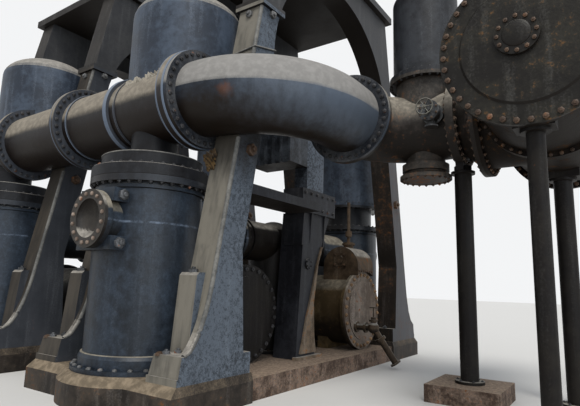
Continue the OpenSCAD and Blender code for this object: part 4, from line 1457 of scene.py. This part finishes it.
@dataclass
class Condenser(Bolted):
    """The surface condenser and its columns."""

    cover_bolt_r: float = 0.89
    cover_nut: float = 0.030
    cover_faces: tuple[float, float] = (0.06, 0.038)
    rear_faces: tuple[float, float] = (0.06, 0.06)
    manhole_bolt_r: float = 0.20
    manhole_t: float = 0.030
    shell_bolt_r: float = 0.88
    shell_back: float = 0.75
    shell_t: float = 0.0625
    foot_t: float = 0.04
    feet: tuple[tuple[str, float], ...] = (
        ("condenser_front_column", 0.142), ("condenser_rear_column", 0.178), ("main_column", 0.178))

    def dress(self) -> None:
        """Paints the condenser and its columns."""
        self.finishes.dress("condenser_paint", "condenser_cover", "manhole_cover", "condenser_rear_cover")
        self.finishes.dress("shaded_shell_paint", "condenser_shell")
        self.finishes.dress("valve_paint", "gate_valve")
        self.finishes.dress("wheel_paint", "handwheel")
        self.finishes.dress("dark_iron", "condenser_front_column", "condenser_rear_column", "main_column")

    def build(self) -> None:
        """Adds the nuts of the covers, the shell's joints and the columns' feet."""
        lay = LAYOUT
        x, _, _ = middle("condenser_cover")
        _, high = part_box("condenser_cover")
        self.joint("condenser_cover_nuts", (x, high.y, lay.main_z), Axis.Y, self.cover_bolt_r,
                   self.cover_faces, 40, self.cover_nut, "rusty_nuts")
        low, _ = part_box("condenser_rear_cover")
        self.joint("condenser_rear_nuts", (x, low.y, lay.main_z), Axis.Y, self.cover_bolt_r,
                   self.rear_faces, 40, self.cover_nut, "rusty_nuts")
        _, y, _ = middle("reducer")
        self.joint("shell_joint_nuts", (x, y - self.shell_back + self.shell_t, lay.main_z), Axis.Y,
                   self.shell_bolt_r, (self.shell_t, self.shell_t), 44, 0.023, "rusty_nuts")
        low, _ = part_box("manhole_cover")
        x, _, z = middle("manhole_cover")
        self.ring("manhole_nuts", (x, low.y + self.manhole_t, z), Axis.MINUS_Y, self.manhole_bolt_r, 12,
                  0.022, "rusty_nuts", start=0.0)
        for node, radius in self.feet:
            low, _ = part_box(node)
            x, y, _ = middle(node)
            self.ring(f"{node}_foot_nuts", (x, y, low.z + self.foot_t), Axis.Z, radius, 6, 0.019, "dark_nuts")


@dataclass
class LowDrums(Bolted):
    """The two low drums and what stands on them."""

    cover_lip: float = 0.045
    cover_bolt_r: float = 0.745
    flange_t: float = 0.02
    flange_z: float = 2.187
    flange_half: float = 0.108
    row_z: float = 1.95
    row_y: tuple[float, float] = (1.30, 1.92)

    def dress(self) -> None:
        """Paints the drums, the valve chest and the small pieces."""
        self.finishes.dress("dark_iron", "front_drum", "front_drum_cover")
        self.finishes.dress("drum_cover_paint", "rear_drum_cover")
        self.finishes.dress("rusty_iron", "valve_chest", "drain_pipe", "drain_handle")
        self.finishes.dress("drum_paint", "rear_drum")

    def build(self) -> None:
        """Adds the nuts of the covers, and of the chest's flange and side."""
        for node, finish in (("front_drum_cover", "dark_nuts"), ("rear_drum_cover", "cover_nuts")):
            low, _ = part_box(node)
            _, y, z = middle(node)
            self.ring(f"{node}_nuts", (low.x + self.cover_lip, y, z), Axis.X, self.cover_bolt_r, 28, 0.034,
                      finish)
        low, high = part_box("valve_chest")
        x, _, _ = middle("valve_chest")
        corners = [(x + sx * self.flange_half, low.y + self.flange_t, self.flange_z + sz * self.flange_half)
                   for sx in (1, -1) for sz in (1, -1)]
        self.nuts("chest_flange_nuts", corners, Axis.MINUS_Y, 0.02, "rusty_nuts")
        rows = [(high.x, y, self.row_z) for y in np.linspace(*self.row_y, 7)]
        self.nuts("chest_side_nuts", rows, Axis.X, 0.022, "rusty_nuts")


@dataclass(frozen=True)
class Lamp:
    """A soft sun.

    Attributes:
        name: the lamp's name.
        energy: its strength.
        direction: the way its light travels.
        soft: its angular size in degrees.
        colour: its colour.
    """

    name: str
    energy: float
    direction: tuple[float, float, float]
    soft: float
    colour: Colour

    def hang(self) -> None:
        """Puts the lamp into the scene."""
        data = bpy.data.lights.new(self.name, "SUN")
        data.energy = self.energy
        data.angle = math.radians(self.soft)
        data.color = self.colour
        made = bpy.data.objects.new(self.name, data)
        made.rotation_mode = "QUATERNION"
        made.rotation_quaternion = Vector(self.direction).to_track_quat("-Z", "Y")
        bpy.context.scene.collection.objects.link(made)


@dataclass(frozen=True)
class Studio:
    """Camera, light and floor."""

    place: tuple[float, float, float] = (5.743, -4.801, 1.65)
    yaw: float = 34.821
    pitch: float = 9.556
    roll: float = 1.580
    focal_px: float = 479.521
    width_px: float = 580.0
    off_centre_px: float = 0.5
    sensor_mm: float = 36.0
    reach: float = 200.0
    ambient: Colour = (0.88, 0.93, 1.0)
    ambient_level: float = 0.6
    backdrop: Colour = (0.90, 0.91, 0.92)
    floor_half: float = 60.0
    floor_colour: Colour = (0.62, 0.61, 0.59)
    lamps: tuple[Lamp, ...] = (Lamp("key", 2.2, (-0.35, 0.45, -0.85), 25.0, (1.0, 0.97, 0.92)),
                               Lamp("side", 0.9, (-0.8, 0.5, -0.15), 40.0, (0.85, 0.92, 1.0)))

    def camera(self) -> None:
        """Sets the camera where the photograph was taken from."""
        data = bpy.data.cameras.new("camera")
        data.sensor_width = self.sensor_mm
        data.lens = self.focal_px / self.width_px * self.sensor_mm
        data.shift_x = self.off_centre_px / self.width_px
        data.shift_y = -self.off_centre_px / self.width_px
        data.clip_end = self.reach
        yaw, pitch, roll = (math.radians(a) for a in (self.yaw, self.pitch, self.roll))
        ahead = Vector((-math.sin(yaw) * math.cos(pitch), math.cos(yaw) * math.cos(pitch), math.sin(pitch)))
        level = Vector((math.cos(yaw), math.sin(yaw), 0.0))
        above = level.cross(ahead)
        right = level * math.cos(roll) + above * math.sin(roll)
        up = above * math.cos(roll) - level * math.sin(roll)
        turn = Matrix((right, up, -ahead)).transposed()
        made = bpy.data.objects.new("camera", data)
        made.matrix_world = Matrix.Translation(
            Vector(self.place) + Vector((LAYOUT.shift_x, LAYOUT.front_y, 0.0))) @ turn.to_4x4()
        bpy.context.scene.collection.objects.link(made)
        bpy.context.scene.camera = made

    def world(self) -> None:
        """A pale world that looks white to the camera and lights evenly."""
        world = bpy.data.worlds.new("studio")
        bpy.context.scene.world = world
        world.use_nodes = True
        tree = world.node_tree
        tree.nodes.clear()
        rays = tree.nodes.new("ShaderNodeLightPath")
        direct, seen = (tree.nodes.new("ShaderNodeMath") for _ in range(2))
        direct.operation = seen.operation = "MAXIMUM"
        lit = tree.nodes.new("ShaderNodeBackground")
        lit.inputs[0].default_value = (*self.ambient, 1.0)
        lit.inputs[1].default_value = self.ambient_level
        shown = tree.nodes.new("ShaderNodeBackground")
        shown.inputs[0].default_value = (*self.backdrop, 1.0)
        shown.inputs[1].default_value = 1.0
        mixed = tree.nodes.new("ShaderNodeMixShader")
        out = tree.nodes.new("ShaderNodeOutputWorld")
        tree.links.new(rays.outputs["Is Camera Ray"], direct.inputs[0])
        tree.links.new(rays.outputs["Is Glossy Ray"], direct.inputs[1])
        tree.links.new(direct.outputs[0], seen.inputs[0])
        tree.links.new(rays.outputs["Is Transmission Ray"], seen.inputs[1])
        tree.links.new(seen.outputs[0], mixed.inputs[0])
        tree.links.new(lit.outputs[0], mixed.inputs[1])
        tree.links.new(shown.outputs[0], mixed.inputs[2])
        tree.links.new(mixed.outputs[0], out.inputs[0])

    def floor(self) -> None:
        """A plain pale floor, which isn't part of the object."""
        half = self.floor_half
        corners = [(x, y, 0.0) for x, y in rectangle((-half, -half), (half, half))]
        mesh = bpy.data.meshes.new("floor")
        mesh.from_pydata(corners, [], [(0, 1, 2, 3)])
        mesh.materials.append(Shader("studio_floor").finish(self.floor_colour, 0.9))
        made = bpy.data.objects.new("floor", mesh)
        bpy.context.scene.collection.objects.link(made)

    def build(self) -> None:
        """Sets up the whole studio."""
        bpy.context.scene.view_settings.view_transform = "Standard"
        self.camera()
        self.world()
        for lamp in self.lamps:
            lamp.hang()
        self.floor()


def main() -> None:
    """Builds the engine's looks in order."""
    logging.basicConfig(level=logging.INFO, format="%(name)s: %(message)s")
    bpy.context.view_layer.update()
    Studio().build()
    finishes = Finishes()
    for part in (DeliveryMain(finishes), PumpChambers(finishes), Frames(finishes), Condenser(finishes),
                 LowDrums(finishes)):
        part.dress()
        part.build()


if __name__ == "__main__":
    main()
